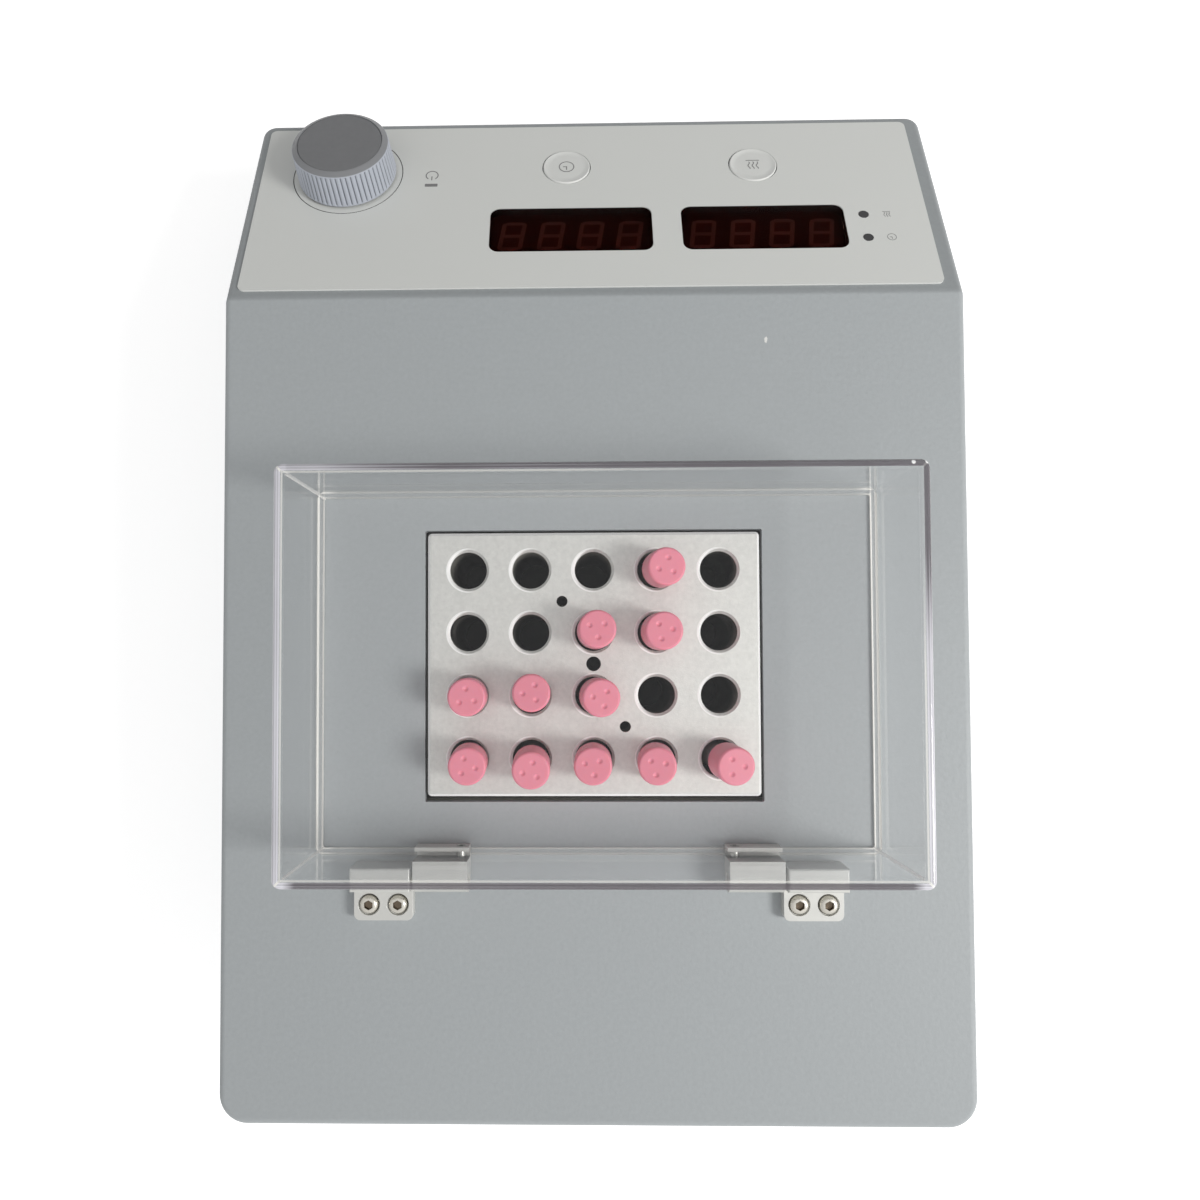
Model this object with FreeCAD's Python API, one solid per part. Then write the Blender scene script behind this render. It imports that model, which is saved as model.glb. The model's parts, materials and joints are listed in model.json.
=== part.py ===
import FreeCAD, Part
import math
import os

# Dry bath incubator: a sloped-front casing with a control panel, a heated metal block with
# twenty wells that lifts out of the top, and a clear hinged lid over the block.
# Millimetres, +Z up. The front with the panel faces -Y, and right and left are those of
# someone who stands in front. The origin is on the bench under the middle of the instrument.

from FreeCAD import Placement, Rotation, Vector

# Casing
casing_width = 216.0
casing_length = 310.0
casing_top = 85.0  # flat top above the bench
casing_wall = 2.5
rear_corner_r = 8.5
front_corner_r = 4.5
top_edge_r = 2.2
panel_run = 71.5  # length of the sloped front, measured level
panel_slope = 22.2  # degrees
corner_boss_r = 5.0
corner_boss_inset = 13.0  # boss axis from the casing's faces
roof_boss_drop = 7.0

# Base plate, feet and screws
foot_height = 5.0
foot_r = 9.0
foot_taper = 1.0
foot_recess_r = 4.2
foot_recess_depth = 2.6
base_thickness = 2.0
base_inset = 1.0
vent_count = 9
vent_pitch = 8.0
vent_width = 3.0
vent_length = 46.0
vent_front = 13.0  # middle of the front slots behind the crease
screw_r = 1.5
screw_play = 0.1
screw_head_r = 2.8
screw_head_h = 1.9
foot_screw_length = 14.0
short_screw_length = 6.0

# Heating block and its wells
block_width = 95.5
block_length = 75.7
block_height = 50.0
block_corner_r = 1.2
block_chamfer = 0.8
block_from_rear = 131.4  # block's middle from the casing's rear face
block_proud = 0.5
block_lift = 18.0
block_gap_side = 0.8  # from the block's right and left faces to the opening in the casing
block_gap_front = 0.8
block_gap_rear = 1.6
block_window_r = 0.5
well_columns = 5
well_rows = 4
well_pitch = 18.0
well_r = 5.3
well_depth = 35.3
well_chamfer = 0.7
handle_hole_r = 2.1
handle_hole_depth = 12.0
probe_hole_r = 1.6
probe_hole_depth = 36.0

# Capped vials that stand in eleven of the wells
vial_r = 4.0
vial_wall = 0.8
vial_tip_r = 1.6
vial_tip_length = 15.0
vial_reach = 35.0  # vial below the block's top
vial_cap_r = 5.25
vial_cap_top = 12.0
vial_cap_bottom = 2.0
vial_cap_grip = 6.0  # height of the tube inside the cap
vial_cap_bevel = 0.5
vial_dimple_r = 0.75
vial_dimple_depth = 0.5
vial_dimple_circle = 2.35
vial_cross_depth = 10.0  # where a leaning vial's axis crosses its well's axis
# Column from the right, row from the front, lean to the right, lean to the rear, turn of the
# cap: all three in degrees.
vials = (
    (4, 1, -4.7, 0.8, 20.0),
    (3, 2, -2.1, -1.8, 95.0),
    (4, 2, -2.6, -0.3, 70.0),
    (1, 3, -2.6, -0.3, 35.0),
    (2, 3, -1.8, -3.4, 5.0),
    (3, 3, -4.7, 0.5, 110.0),
    (1, 4, -2.9, 1.8, 50.0),
    (2, 4, -1.3, 4.9, 15.0),
    (3, 4, 1.6, 1.8, 100.0),
    (4, 4, 2.9, 1.8, 80.0),
    (5, 4, -5.7, 2.1, 60.0),
)

# Tray, heater and insulation under the block
tray_gap = 1.0
tray_wall = 1.0
tray_flange = 9.0
tray_screw_inset = 4.0
tray_screw_end = 8.0  # tray screws from the tray's ends
heater_thickness = 8.0
heater_screw_inset = 9.0
heater_lead_pitch = 12.0
film_thickness = 1.5
pad_thickness = 8.0
heater_clearance = 0.1
jacket_thickness = 8.0
jacket_corner_r = 6.0
jacket_lift = 4.0  # jacket's lower edge above the heating film
sensor_r = 1.5
sensor_length = 22.0
sensor_x = 20.0
cutout_r = 6.0
cutout_notch = 4.0  # terminals' notch from the middle

# Control panel, measured on the slope: x to the right, p down the slope from the crease
overlay_margin = 4.5  # from the casing's sides
overlay_width = casing_width - 2 * overlay_margin
overlay_length = 71.0
overlay_thickness = 0.5
overlay_corner_r = 2.0
overlay_x = 1.0
overlay_p = 38.6
window_width = 49.3
window_height = 18.2
window_corner_r = 3.0
window_thickness = 2.2
window_play = 0.15
window_p = 26.8
heat_window_margin = 55.5  # window's middle from the casing's left side
window_pitch = 58.5
heat_window_x = heat_window_margin - casing_width / 2
timer_window_x = heat_window_x + window_pitch
digits_width = 47.0
digits_height = 15.6
digits_depth = 7.0
digit_count = 4
digit_pitch = 11.2
digit_length = 10.2
digit_width = 5.6
digit_bar = 1.0
digit_slant = 8.0
button_p = 54.4
timer_button_shift = 1.3  # button to the right of its window's middle
heat_button_shift = 0.8
timer_button_x = timer_window_x + timer_button_shift
heat_button_x = heat_window_x + heat_button_shift
button_r = 7.4
button_play = 0.3
button_proud = 0.3
button_flange = 1.4
button_flange_thickness = 1.2
button_stem_r = 1.7
button_travel = 0.5
led_r = 1.5
led_margin = 24.8  # from the casing's left side
led_x = led_margin - casing_width / 2
led_p = (31.6, 21.8)

# Knob and its encoder
knob_margin = 31.2  # from the casing's right side
knob_x = casing_width / 2 - knob_margin
knob_p = 52.2
knob_base_r = 15.5
knob_top_r = 14.8
knob_bottom = 1.2
knob_top = 11.3
knob_wall = 2.2
knob_shoulder = 0.9  # height of the sloping ring round the top
knob_shoulder_width = 1.6
knob_rim = 0.2  # flat lip between the sloping ring and the recess for the disc
knob_flutes = 60
flute_r = 0.42
flute_margin = 0.3  # plain band above the flutes
knob_hub_r = 5.5
knob_cap_recess = 1.2
knob_seat_r = 17.2
knob_seat_gap = 0.3
shaft_r = 3.0
shaft_play = 0.3
bush_r = 4.0
bush_top = 3.0
nut_width = 11.0
nut_height = 2.2
push_travel = 0.5
encoder_width = 12.0
plunger_rise = 3.2  # plunger's top above the board
plunger_thickness = 1.6
shaft_cover = 1.4  # knob's top above the shaft, without the recess

# Control board under the panel
board_thickness = 1.6
control_board_margin = 20.0  # from the casing's sides
control_board_width = casing_width - 2 * control_board_margin
control_board_length = 58.0
board_boss_r = 2.8
board_screw_inset = 3.8
switch_width = 6.0
switch_height = 3.6

# Lid
lid_width = 161.0
lid_length = 104.4
lid_height = 35.2
lid_wall = 2.0
lid_corner_r = 2.2
lid_edge_r = 1.2
lid_gap = 0.3  # lid above the casing
lid_x = -0.8
lid_from_block = 2.1  # lid's middle behind the block's middle

# Hinges
hinge_r = 4.0
hinge_gap = 0.4
hinge_back = 5.3  # hinge axis behind the lid's rear face
pin_r = 1.5
pin_play = 0.05
bracket_width = 16.8
bracket_inner = 52.1  # bracket's inboard side from the lid's middle
bracket_plate = 3.0
bracket_half_depth = 3.3  # bracket's stand in front of and behind the hinge axis
bracket_rise = 3.9  # stand's flat top above the hinge axis
bracket_edge_r = 0.7
bracket_reach = 12.6  # plate behind the hinge axis
bracket_corner_r = 1.8
bracket_screw_pitch = 8.2
bracket_screw_back = 8.1
bracket_head_r = 2.65
bracket_head_h = 1.65
bracket_sink = 0.7  # depth of the recess round each screw's head
bracket_sink_play = 0.4
socket_width = 2.2
leaf_width = 15.2
leaf_side_gap = 0.8
leaf_lip = 1.1
leaf_lip_height = 5.0
leaf_floor = 1.0
clamp_screw_r = 1.25
clamp_socket_width = 1.2
clamp_socket_depth = 1.0
clamp_screw_inset = 2.4  # clamp screw from the leaf's inboard end
clamp_screw_length = 5.4

# Power board behind the block
power_board_width = 150.0
power_board_length = 56.0
power_board_back = 16.0  # board's rear edge from the rear wall
power_board_lift = 6.0
# Parts on the supply board: middle from the board's middle, then width, length and height
relay = (-47.5, 0.0, 16.0, 28.0, 15.0)
mains_terminals = (51.0, -3.0, 22.0, 9.0, 10.0)
heater_terminals = (-6.0, -22.0, 28.0, 8.0, 10.0)
ribbon_header = (-66.0, -13.0, 16.0, 6.0, 6.0)
capacitor_x = -26.0
capacitor_r = 8.0
capacitor_height = 22.0
transformer_x = 13.0
core_width = 34.0
core_length = 18.0
core_height = 28.0
core_limb = 5.0
coil_length = 28.0
coil_corner_r = 4.0
coil_play = 0.3
coil_lift = 2.0

# Mains inlet in the rear wall
inlet_margin = 46.0  # from the casing's right side
inlet_x = casing_width / 2 - inlet_margin
inlet_z = 42.0
inlet_screw_pitch = 43.0
inlet_screw_margin = 3.5  # from each screw to the flange's end
inlet_body_margin = 2.5  # from each screw to the body
inlet_flange_width = 31.0
inlet_flange_height = inlet_screw_pitch + 2 * inlet_screw_margin
inlet_flange_thickness = 2.4
inlet_flange_r = 3.0
inlet_body_width = 27.4
inlet_body_height = inlet_screw_pitch - 2 * inlet_body_margin
inlet_body_depth = 28.0
socket_recess_width = 24.4
socket_recess_height = 16.6
socket_recess_depth = 18.0
socket_recess_cut = 5.0
socket_up = 7.5
fuse_down = 11.5
fuse_width = 22.0
fuse_height = 9.0
fuse_depth = 23.0
fuse_play = 0.2
contact_width = 2.0
contact_height = 4.0
contact_length = 13.0
contact_pitch = 7.0
contact_drop = 3.5
tag_length = 6.0
tag_height = 4.8
tag_thickness = 0.8
lead_r = 1.2
lead_play = 0.2
mains_lead_drop = 10.0
heater_lead_run = 14.0
heater_lead_rise = 9.0
ribbon_width = 15.0
ribbon_thickness = 1.0
ribbon_p = 30.0
ribbon_rise = 9.0  # ribbon's arch over the supply board

# Places worked out from the sizes above
base_z = foot_height
casing_z = base_z + base_thickness
front_y = -(casing_length + inlet_flange_thickness + screw_head_h) / 2
rear_y = front_y + casing_length
crease_y = front_y + panel_run
roof_under = casing_top - casing_wall
block_y = rear_y - block_from_rear
block_top = casing_top + block_proud
block_bottom = block_top - block_height
tray_half_x = block_width / 2 + tray_gap
tray_half_y = block_length / 2 + tray_gap
heater_top = block_bottom - heater_clearance
film_top = heater_top - heater_thickness
pad_top = film_top - film_thickness
tray_bottom = pad_top - pad_thickness - tray_wall
lid_y = block_y + lid_from_block
lid_bottom = casing_top + lid_gap
lid_back = lid_y + lid_length / 2
hinge_y = lid_back + hinge_back
hinge_z = casing_top + hinge_r + hinge_gap
board_top = -(window_thickness - overlay_thickness) - digits_depth
board_bottom = board_top - board_thickness
up = Vector(0, 0, 1)
back = Vector(0, 1, 0)


def rounded_face(width, length, radius, x=0.0, y=0.0, z=0.0):
    """A level rectangle with round corners, about (x, y)."""
    if radius <= 0:
        corner = Vector(x - width / 2, y - length / 2, z)
        return Part.makePlane(width, length, corner)
    a, b, c = width / 2 - radius, length / 2 - radius, radius * math.sqrt(0.5)
    edges = []
    for side_x, side_y in ((1, 1), (-1, 1), (-1, -1), (1, -1)):
        middle = Vector(x + side_x * a, y + side_y * b, z)
        start = Vector(side_x * radius, 0, 0)
        end = Vector(0, side_y * radius, 0)
        if side_x * side_y < 0:
            start, end = end, start
        across = Vector(side_x * c, side_y * c, 0)
        edges.append(Part.Arc(middle + start, middle + across, middle + end).toShape())
    for here, after in zip(list(edges), edges[1:4] + edges[:1]):
        gap = Part.LineSegment(here.Vertexes[-1].Point, after.Vertexes[0].Point)
        edges.append(gap.toShape())
    return Part.Face(Part.Wire(Part.__sortEdges__(edges)))


def rounded_block(width, length, radius, low, high, x=0.0, y=0.0):
    """An upright block with round corners, from z = low to z = high."""
    return rounded_face(width, length, radius, x, y, low).extrude(Vector(0, 0, high - low))


def block(x, y, z):
    """A plain box between the two values of each axis."""
    sides = [high - low for low, high in (x, y, z)]
    return Part.makeBox(*sides, Vector(x[0], y[0], z[0]))


def rod(radius, x, y, low, high):
    """An upright cylinder."""
    return Part.makeCylinder(radius, high - low, Vector(x, y, low), up)


def turned(points):
    """A solid of revolution about Z through (radius, z) points."""
    corners = [Vector(r, 0, z) for r, z in points]
    wire = Part.makePolygon(corners + corners[:1])
    return Part.Face(wire).revolve(Vector(0, 0, 0), up, 360)


def hexagon(width, low, high, x=0.0, y=0.0):
    """An upright hexagonal prism, width across its flats."""
    reach = width / math.sqrt(3)
    turns = [math.radians(60 * k) for k in range(7)]
    ring = [Vector(x + reach * math.cos(t), y + reach * math.sin(t), low) for t in turns]
    return Part.Face(Part.makePolygon(ring)).extrude(Vector(0, 0, high - low))


def moved(shape, placement):
    """A copy of the shape with the placement worked into its geometry."""
    return shape.transformed(placement.toMatrix(), True)


def shifted(shape, x=0.0, y=0.0, z=0.0):
    """A copy of the shape moved along the axes."""
    return moved(shape, Placement(Vector(x, y, z), Rotation()))


def mirrored_about_lid(shape):
    """The shape's mirror image on the lid's other side."""
    return shape.mirror(Vector(lid_x, 0, 0), Vector(1, 0, 0))


def on_panel(shape, x=0.0, p=0.0):
    """Takes a shape from the panel's own frame, z = 0 on the sloped face, to its place."""
    tilt = Rotation(Vector(1, 0, 0), panel_slope)
    offset = tilt.multVec(Vector(x, -p, 0))
    return moved(shape, Placement(Vector(0, crease_y, casing_top) + offset, tilt))


def edges_where(shape, test):
    """The shape's edges whose middle point and direction pass the test."""
    chosen = []
    for edge in shape.Edges:
        middle = edge.valueAt((edge.FirstParameter + edge.LastParameter) / 2)
        along = edge.tangentAt((edge.FirstParameter + edge.LastParameter) / 2)
        if test(middle, along):
            chosen.append(edge)
    return chosen


def write(name, solids):
    """Writes one STEP file for a node, from one solid or a list of separate ones."""
    solids = solids if isinstance(solids, list) else [solids]
    single = [piece for solid in solids for piece in solid.Solids]
    for piece in single:
        if not piece.isValid() or piece.Volume <= 0:
            raise ValueError(name + " has a faulty solid")
    shape = single[0] if len(single) == 1 else Part.makeCompound(single)
    shape.exportStep("parts/" + name + ".step")


def route(points):
    """A path of straight runs joined by tangent arcs through a list of points."""
    edges, start = [], points[0]
    for before, corner, after in zip(points, points[1:], points[2:]):
        arrive, leave = corner - before, after - corner
        shorter = min(arrive.Length, leave.Length)
        arrive.normalize()
        leave.normalize()
        turn = arrive.getAngle(leave)
        cut = 0.45 * shorter
        first, last = corner - arrive * cut, corner + leave * cut
        middle = arc_middle(first, last, corner, turn)
        edges.append(Part.LineSegment(start, first).toShape())
        edges.append(Part.Arc(first, middle, last).toShape())
        start = last
    edges.append(Part.LineSegment(start, points[-1]).toShape())
    return Part.Wire(edges)


def arc_middle(first, last, corner, turn):
    """The middle point of the arc that touches both runs at a corner."""
    chord = (first + last) * 0.5
    rise = (last - first).Length / 2 * math.tan(turn / 4)
    return chord + (corner - chord).normalize() * rise


def lead(points, radius):
    """A round lead along a route."""
    path = route([Vector(*p) for p in points])
    first = path.Edges[0]
    start, along = first.Vertexes[0].Point, first.tangentAt(first.FirstParameter)
    ring = Part.Wire(Part.makeCircle(radius, start, along))
    return path.makePipeShell([ring], True, False)


def pan_screw(radius, length, head_r, head_h):
    """A pan-head screw with a cross recess, head up, its head's seat at z = 0."""
    head = turned(((0, 0), (head_r, 0), (head_r, head_h * 0.55), (head_r * 0.7, head_h), (0, head_h)))
    body = head.fuse(rod(radius, 0, 0, -length, 0.0))
    slot, depth = head_r * 0.28, head_h * 0.45
    for across in (0, 90):
        bar = block((-head_r * 0.6, head_r * 0.6), (-slot / 2, slot / 2), (head_h - depth, head_h + 1))
        body = body.cut(moved(bar, Placement(Vector(), Rotation(up, across))))
    return body.removeSplitter()


def button_screw(radius, length, head_r, head_h):
    """A button-head screw with a hexagonal socket, head up, its head's seat at z = 0."""
    dome = Part.makeSphere((head_r ** 2 + head_h ** 2) / (2 * head_h))
    dome = shifted(dome, z=head_h - (head_r ** 2 + head_h ** 2) / (2 * head_h))
    head = dome.common(rod(head_r, 0, 0, 0, head_h))
    return head.fuse(rod(radius, 0, 0, -length, 0)).cut(hexagon(socket_width, head_h * 0.35, head_h + 1))


def casing_form(inset, bottom):
    """The closed form of the casing with each face moved in by inset, down to z = bottom."""
    slope = math.radians(panel_slope)
    front, rear, top = front_y + inset, rear_y - inset, casing_top - inset
    crease = crease_y + inset * math.tan(slope / 2)
    low = top - (crease - front) * math.tan(slope)
    half = casing_width / 2 - inset
    outline = ((front, bottom), (front, low), (crease, top), (rear, top), (rear, bottom))
    corners = [Vector(-half, y, z) for y, z in outline]
    form = Part.Face(Part.makePolygon(corners + corners[:1])).extrude(Vector(2 * half, 0, 0))
    for radius, level in ((front_corner_r, front), (rear_corner_r, rear)):
        upright = edges_where(
            form, lambda m, a: abs(a.z) > 0.99 and abs(m.y - level) < 0.01 and abs(abs(m.x) - half) < 0.01
        )
        form = form.makeFillet(max(radius - inset, 0.6), upright)
    rounding = max(top_edge_r - inset, 0.6)
    return form.makeFillet(rounding, edges_where(form, lambda m, a: m.z > bottom + 1 and abs(a.z) < 0.9))


def wells():
    """(column, row) of every well with its x and y. Columns count from the right."""
    for row in range(1, well_rows + 1):
        for column in range(1, well_columns + 1):
            x = well_pitch * ((well_columns + 1) / 2 - column)
            y = block_y + well_pitch * (row - (well_rows + 1) / 2)
            yield (column, row), x, y


corner_boss_places = [
    (side * (casing_width / 2 - corner_boss_inset), y)
    for side in (-1, 1)
    for y in (front_y + corner_boss_inset, rear_y - corner_boss_inset)
]
tray_screw_places = [
    (side * (tray_half_x + tray_screw_inset), block_y + end * (tray_half_y - tray_screw_end))
    for side in (-1, 1)
    for end in (-1, 1)
]
board_screw_places = [
    (x * (control_board_width / 2 - board_screw_inset),
     overlay_p + p * (control_board_length / 2 - board_screw_inset))
    for x in (-1, 1)
    for p in (-1, 1)
]
power_board_y = rear_y - power_board_back - power_board_length / 2
power_board_z = casing_z + power_board_lift
power_screw_places = [
    (x * (power_board_width / 2 - board_screw_inset),
     power_board_y + y * (power_board_length / 2 - board_screw_inset))
    for x in (-1, 1)
    for y in (-1, 1)
]


def panel_holes(drop):
    """Cutters for the panel's windows, buttons, lamps and knob, in the panel's frame."""
    low, high = -drop, 2.0
    cutters = []
    for x in (timer_window_x, heat_window_x):
        wide, tall = window_width + 2 * window_play, window_height + 2 * window_play
        cutters.append(rounded_block(wide, tall, window_corner_r, low, high, x, -window_p))
    for x in (timer_button_x, heat_button_x):
        cutters.append(rod(button_r + button_play, x, -button_p, low, high))
    for p in led_p:
        cutters.append(rod(led_r + screw_play, led_x, -p, low, high))
    return cutters


def upper_casing():
    """The painted shell with its bosses, the block's window and the panel's openings."""
    shell = casing_form(0, casing_z).cut(casing_form(casing_wall, casing_z - 1))
    filling = casing_form(casing_wall / 2, casing_z)
    bosses = [rod(corner_boss_r, x, y, casing_z, casing_top) for x, y in corner_boss_places]
    bosses += [
        rod(corner_boss_r * 0.8, x, y, roof_under - roof_boss_drop, casing_top)
        for x, y in tray_screw_places
    ]
    for x, p in board_screw_places:
        bosses.append(on_panel(rod(board_boss_r, x, -p, board_top, -casing_wall / 2)))
    shell = shell.fuse([boss.common(filling) for boss in bosses])
    wide, tall = block_width + 2 * block_gap_side, block_length + block_gap_front + block_gap_rear
    middle = block_y + (block_gap_rear - block_gap_front) / 2
    cuts = [rounded_block(wide, tall, block_window_r, roof_under - 1, casing_top + 1, 0, middle)]
    hole = screw_r + screw_play
    depth = foot_screw_length + 1
    cuts += [rod(hole, x, y, casing_z - 1, casing_z + depth) for x, y in corner_boss_places]
    seat = roof_under - roof_boss_drop
    cuts += [rod(hole, x, y, seat - 1, seat + short_screw_length) for x, y in tray_screw_places]
    end = board_top + short_screw_length - board_thickness
    cuts += [on_panel(rod(hole, x, -p, board_top - 1, end)) for x, p in board_screw_places]
    cuts += [on_panel(cutter) for cutter in panel_holes(casing_wall + 2)]
    cuts.append(on_panel(rod(bush_r + screw_play, knob_x, -knob_p, -casing_wall - 2, 2)))
    for x, y in bracket_screw_places():
        cuts.append(rod(hole, x, y, roof_under - 1, casing_top + 1))
    wide, tall = inlet_body_width / 2 + window_play, inlet_body_height / 2 + window_play
    inside = rear_y - casing_wall - 1
    cuts.append(block(
        (inlet_x - wide, inlet_x + wide), (inside, rear_y + 1), (inlet_z - tall, inlet_z + tall)
    ))
    for z in inlet_screw_heights():
        cuts.append(Part.makeCylinder(hole, casing_wall + 2, Vector(inlet_x, inside, z), back))
    return shell.cut(cuts)


def base_plate():
    """The flat bottom with vent slots, screw holes and pressed-in pillars for the power board."""
    radius = rear_corner_r - base_inset
    plate = rounded_block(
        casing_width - 2 * base_inset, casing_length - 2 * base_inset, radius, base_z, casing_z,
        0, (front_y + rear_y) / 2,
    )
    pillars = [rod(board_boss_r, x, y, base_z, power_board_z) for x, y in power_screw_places]
    plate = plate.fuse(pillars)
    hole, low, high = screw_r + screw_play, base_z - 1, casing_z + 1
    cuts = [rod(hole, x, y, low, high) for x, y in corner_boss_places]
    cuts += [rod(hole, x, y, base_z + 1, power_board_z + 1) for x, y in power_screw_places]
    round_end = vent_width / 2 - 0.01
    for middle in (power_board_y, crease_y + vent_front):
        for k in range(vent_count):
            x = (k - (vent_count - 1) / 2) * vent_pitch
            cuts.append(rounded_block(vent_width, vent_length, round_end, low, high, x, middle))
    return plate.cut(cuts)


def rubber_foot(x, y):
    """One tapered foot with a recess for its screw's head."""
    profile = ((0, 0), (foot_r - foot_taper, 0), (foot_r, foot_height), (0, foot_height))
    foot = turned(profile).cut(rod(foot_recess_r, 0, 0, -1, foot_recess_depth))
    foot = foot.cut(rod(screw_r + screw_play, 0, 0, 0, foot_height + 1))
    return shifted(foot, x, y)


def base_screw(x, y):
    """A screw that goes up through a foot and the base plate into the casing."""
    turn = Placement(Vector(x, y, foot_recess_depth), Rotation(Vector(1, 0, 0), 180))
    return moved(pan_screw(screw_r, foot_screw_length, screw_head_r, screw_head_h), turn)


def inner_screws():
    """The short screws of the tray, the control board and the power board."""
    screw = pan_screw(screw_r, short_screw_length, screw_head_r, screw_head_h)
    over = Rotation(Vector(1, 0, 0), 180)
    seat = roof_under - roof_boss_drop - tray_wall
    screws = [moved(screw, Placement(Vector(x, y, seat), over)) for x, y in tray_screw_places]
    screws += [
        on_panel(moved(screw, Placement(Vector(x, -p, board_bottom), over))) for x, p in board_screw_places
    ]
    top = power_board_z + board_thickness
    return screws + [shifted(screw, x, y, top) for x, y in power_screw_places]


def panel_overlay():
    """The printed white sheet on the sloped front, with its openings."""
    sheet = rounded_block(
        overlay_width, overlay_length, overlay_corner_r, 0, overlay_thickness, overlay_x, -overlay_p
    )
    seat = rod(knob_seat_r + knob_seat_gap, knob_x, -knob_p, -1, 2)
    return on_panel(sheet.cut(panel_holes(1) + [seat]))


def knob_seat():
    """The round plate under the knob, level with the overlay."""
    disc = rod(knob_seat_r, 0, 0, 0, overlay_thickness)
    return on_panel(disc.cut(rod(nut_width * 0.64, 0, 0, -1, 1)), knob_x, knob_p)


def display_window(x):
    """A smoked filter plate that fills one opening of the overlay."""
    low = overlay_thickness - window_thickness
    plate = rounded_block(window_width, window_height, window_corner_r, low, overlay_thickness)
    return on_panel(plate, x, window_p)


def digit_cutters(z):
    """Shallow seven-bar figures for a row of digits."""
    bars = []
    half, arm = digit_length / 2 - digit_bar / 2, digit_width - 1.4 * digit_bar
    for k in range(digit_count):
        x = (k - (digit_count - 1) / 2) * digit_pitch
        lean = math.tan(math.radians(digit_slant))
        for level in (-half, 0, half):
            bars.append(block(
                (x + level * lean - arm / 2, x + level * lean + arm / 2),
                (level - digit_bar / 2, level + digit_bar / 2), (z - 0.2, z + 1),
            ))
        for side in (-1, 1):
            for end in (-1, 1):
                low, high = sorted((end * digit_bar * 0.7, end * (half - digit_bar * 0.2)))
                spot = x + side * (digit_width - digit_bar) / 2 + end * half / 2 * lean
                bars.append(block(
                    (spot - digit_bar / 2, spot + digit_bar / 2), (low, high), (z - 0.2, z + 1)
                ))
    return bars


def digit_module(x):
    """One four-digit display behind its window, with its figures as shallow recesses."""
    top = board_top + digits_depth
    wide, tall = digits_width / 2, digits_height / 2
    body = block((-wide, wide), (-tall, tall), (board_top, top))
    return on_panel(body.cut(digit_cutters(top)), x, window_p)


def indicator_led(p):
    """One round lamp that stands on the control board and ends level with the overlay."""
    tube = rod(led_r, 0, 0, board_top, overlay_thickness)
    return on_panel(tube.fuse(rod(led_r * 1.2, 0, 0, board_top, board_top + 1)), led_x, p)


def control_board():
    """The circuit board under the panel."""
    wide, long = control_board_width, control_board_length
    board = rounded_block(wide, long, 2.0, board_bottom, board_top, 0, -overlay_p)
    return on_panel(board.cut([
        rod(screw_r + screw_play, x, -p, board_bottom - 1, board_top + 1) for x, p in board_screw_places
    ]))


encoder_top = -casing_wall
plunger_top = board_top + plunger_rise
plunger_bottom = plunger_top - plunger_thickness
shaft_top = knob_top - knob_cap_recess - shaft_cover


def encoder_body():
    """The encoder's case with its threaded bush, hollow for the shaft and plunger."""
    half = encoder_width / 2
    case = block((-half, half), (-half, half), (board_top, encoder_top))
    body = case.fuse(rod(bush_r, 0, 0, encoder_top - 1, bush_top))
    body = body.cut(rod(shaft_r + shaft_play, 0, 0, board_top + 1, bush_top + 1))
    floor = plunger_bottom - push_travel - 0.3
    chamber = rod(shaft_r + 3 * shaft_play, 0, 0, floor, plunger_top + 0.6)
    return on_panel(body.cut(chamber), knob_x, knob_p)


def encoder_plunger():
    """The disc under the shaft that works the push switch."""
    disc = rod(shaft_r + shaft_play, 0, 0, plunger_bottom, plunger_top)
    return on_panel(disc, knob_x, knob_p)


def encoder_nut():
    """The nut that holds the encoder's bush to the panel."""
    nut = hexagon(nut_width, 0, nut_height).cut(rod(bush_r + 0.05, 0, 0, -1, nut_height + 1))
    return on_panel(nut, knob_x, knob_p)


def encoder_shaft():
    """The turning shaft from the plunger up into the knob's hub."""
    shaft = rod(shaft_r, 0, 0, plunger_top + 0.05, shaft_top)
    flat = block((shaft_r * 0.5, shaft_r * 2), (-shaft_r, shaft_r), (bush_top + 2, shaft_top + 1))
    return on_panel(shaft.cut(flat), knob_x, knob_p)


def knob_body():
    """The fluted knob: a tapered cup with a hub, a bevelled rim and a recessed top."""
    inner_r = knob_base_r - knob_wall
    ceiling = shaft_top - 0.4
    shoulder, lip_r = knob_top - knob_shoulder, knob_top_r - knob_shoulder_width
    outside = turned((
        (0, knob_bottom), (knob_base_r - 0.3, knob_bottom), (knob_base_r, knob_bottom + 0.3),
        (knob_top_r, shoulder), (lip_r, knob_top), (0, knob_top),
    ))
    low = knob_bottom - 1
    hollow = turned(((knob_hub_r, low), (inner_r, low), (inner_r, ceiling), (knob_hub_r, ceiling)))
    step = rod(knob_hub_r + 1, 0, 0, knob_bottom - 1, bush_top + push_travel + 0.6)
    recess = rod(lip_r - knob_rim, 0, 0, knob_top - knob_cap_recess, knob_top + 1)
    bore = rod(shaft_r + 0.02, 0, 0, 0, shaft_top + 0.05)
    flat = block((shaft_r * 0.5 + 0.02, shaft_r * 2), (-shaft_r, shaft_r), (bush_top + 2, shaft_top + 1))
    form = outside.cut([hollow, step, recess, bore.cut(flat)])
    lean = math.atan2(knob_base_r - knob_top_r, shoulder - knob_bottom)
    run = shoulder - flute_margin - knob_bottom
    groove = Part.makeCylinder(flute_r, run + 1, Vector(0, 0, -1), up)
    side = Rotation(Vector(0, -1, 0), math.degrees(lean))
    groove = moved(groove, Placement(Vector(knob_base_r, 0, knob_bottom), side))
    turns = [Rotation(up, 360.0 * k / knob_flutes) for k in range(knob_flutes)]
    return on_panel(form.cut([moved(groove, Placement(Vector(), t)) for t in turns]), knob_x, knob_p)


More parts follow.
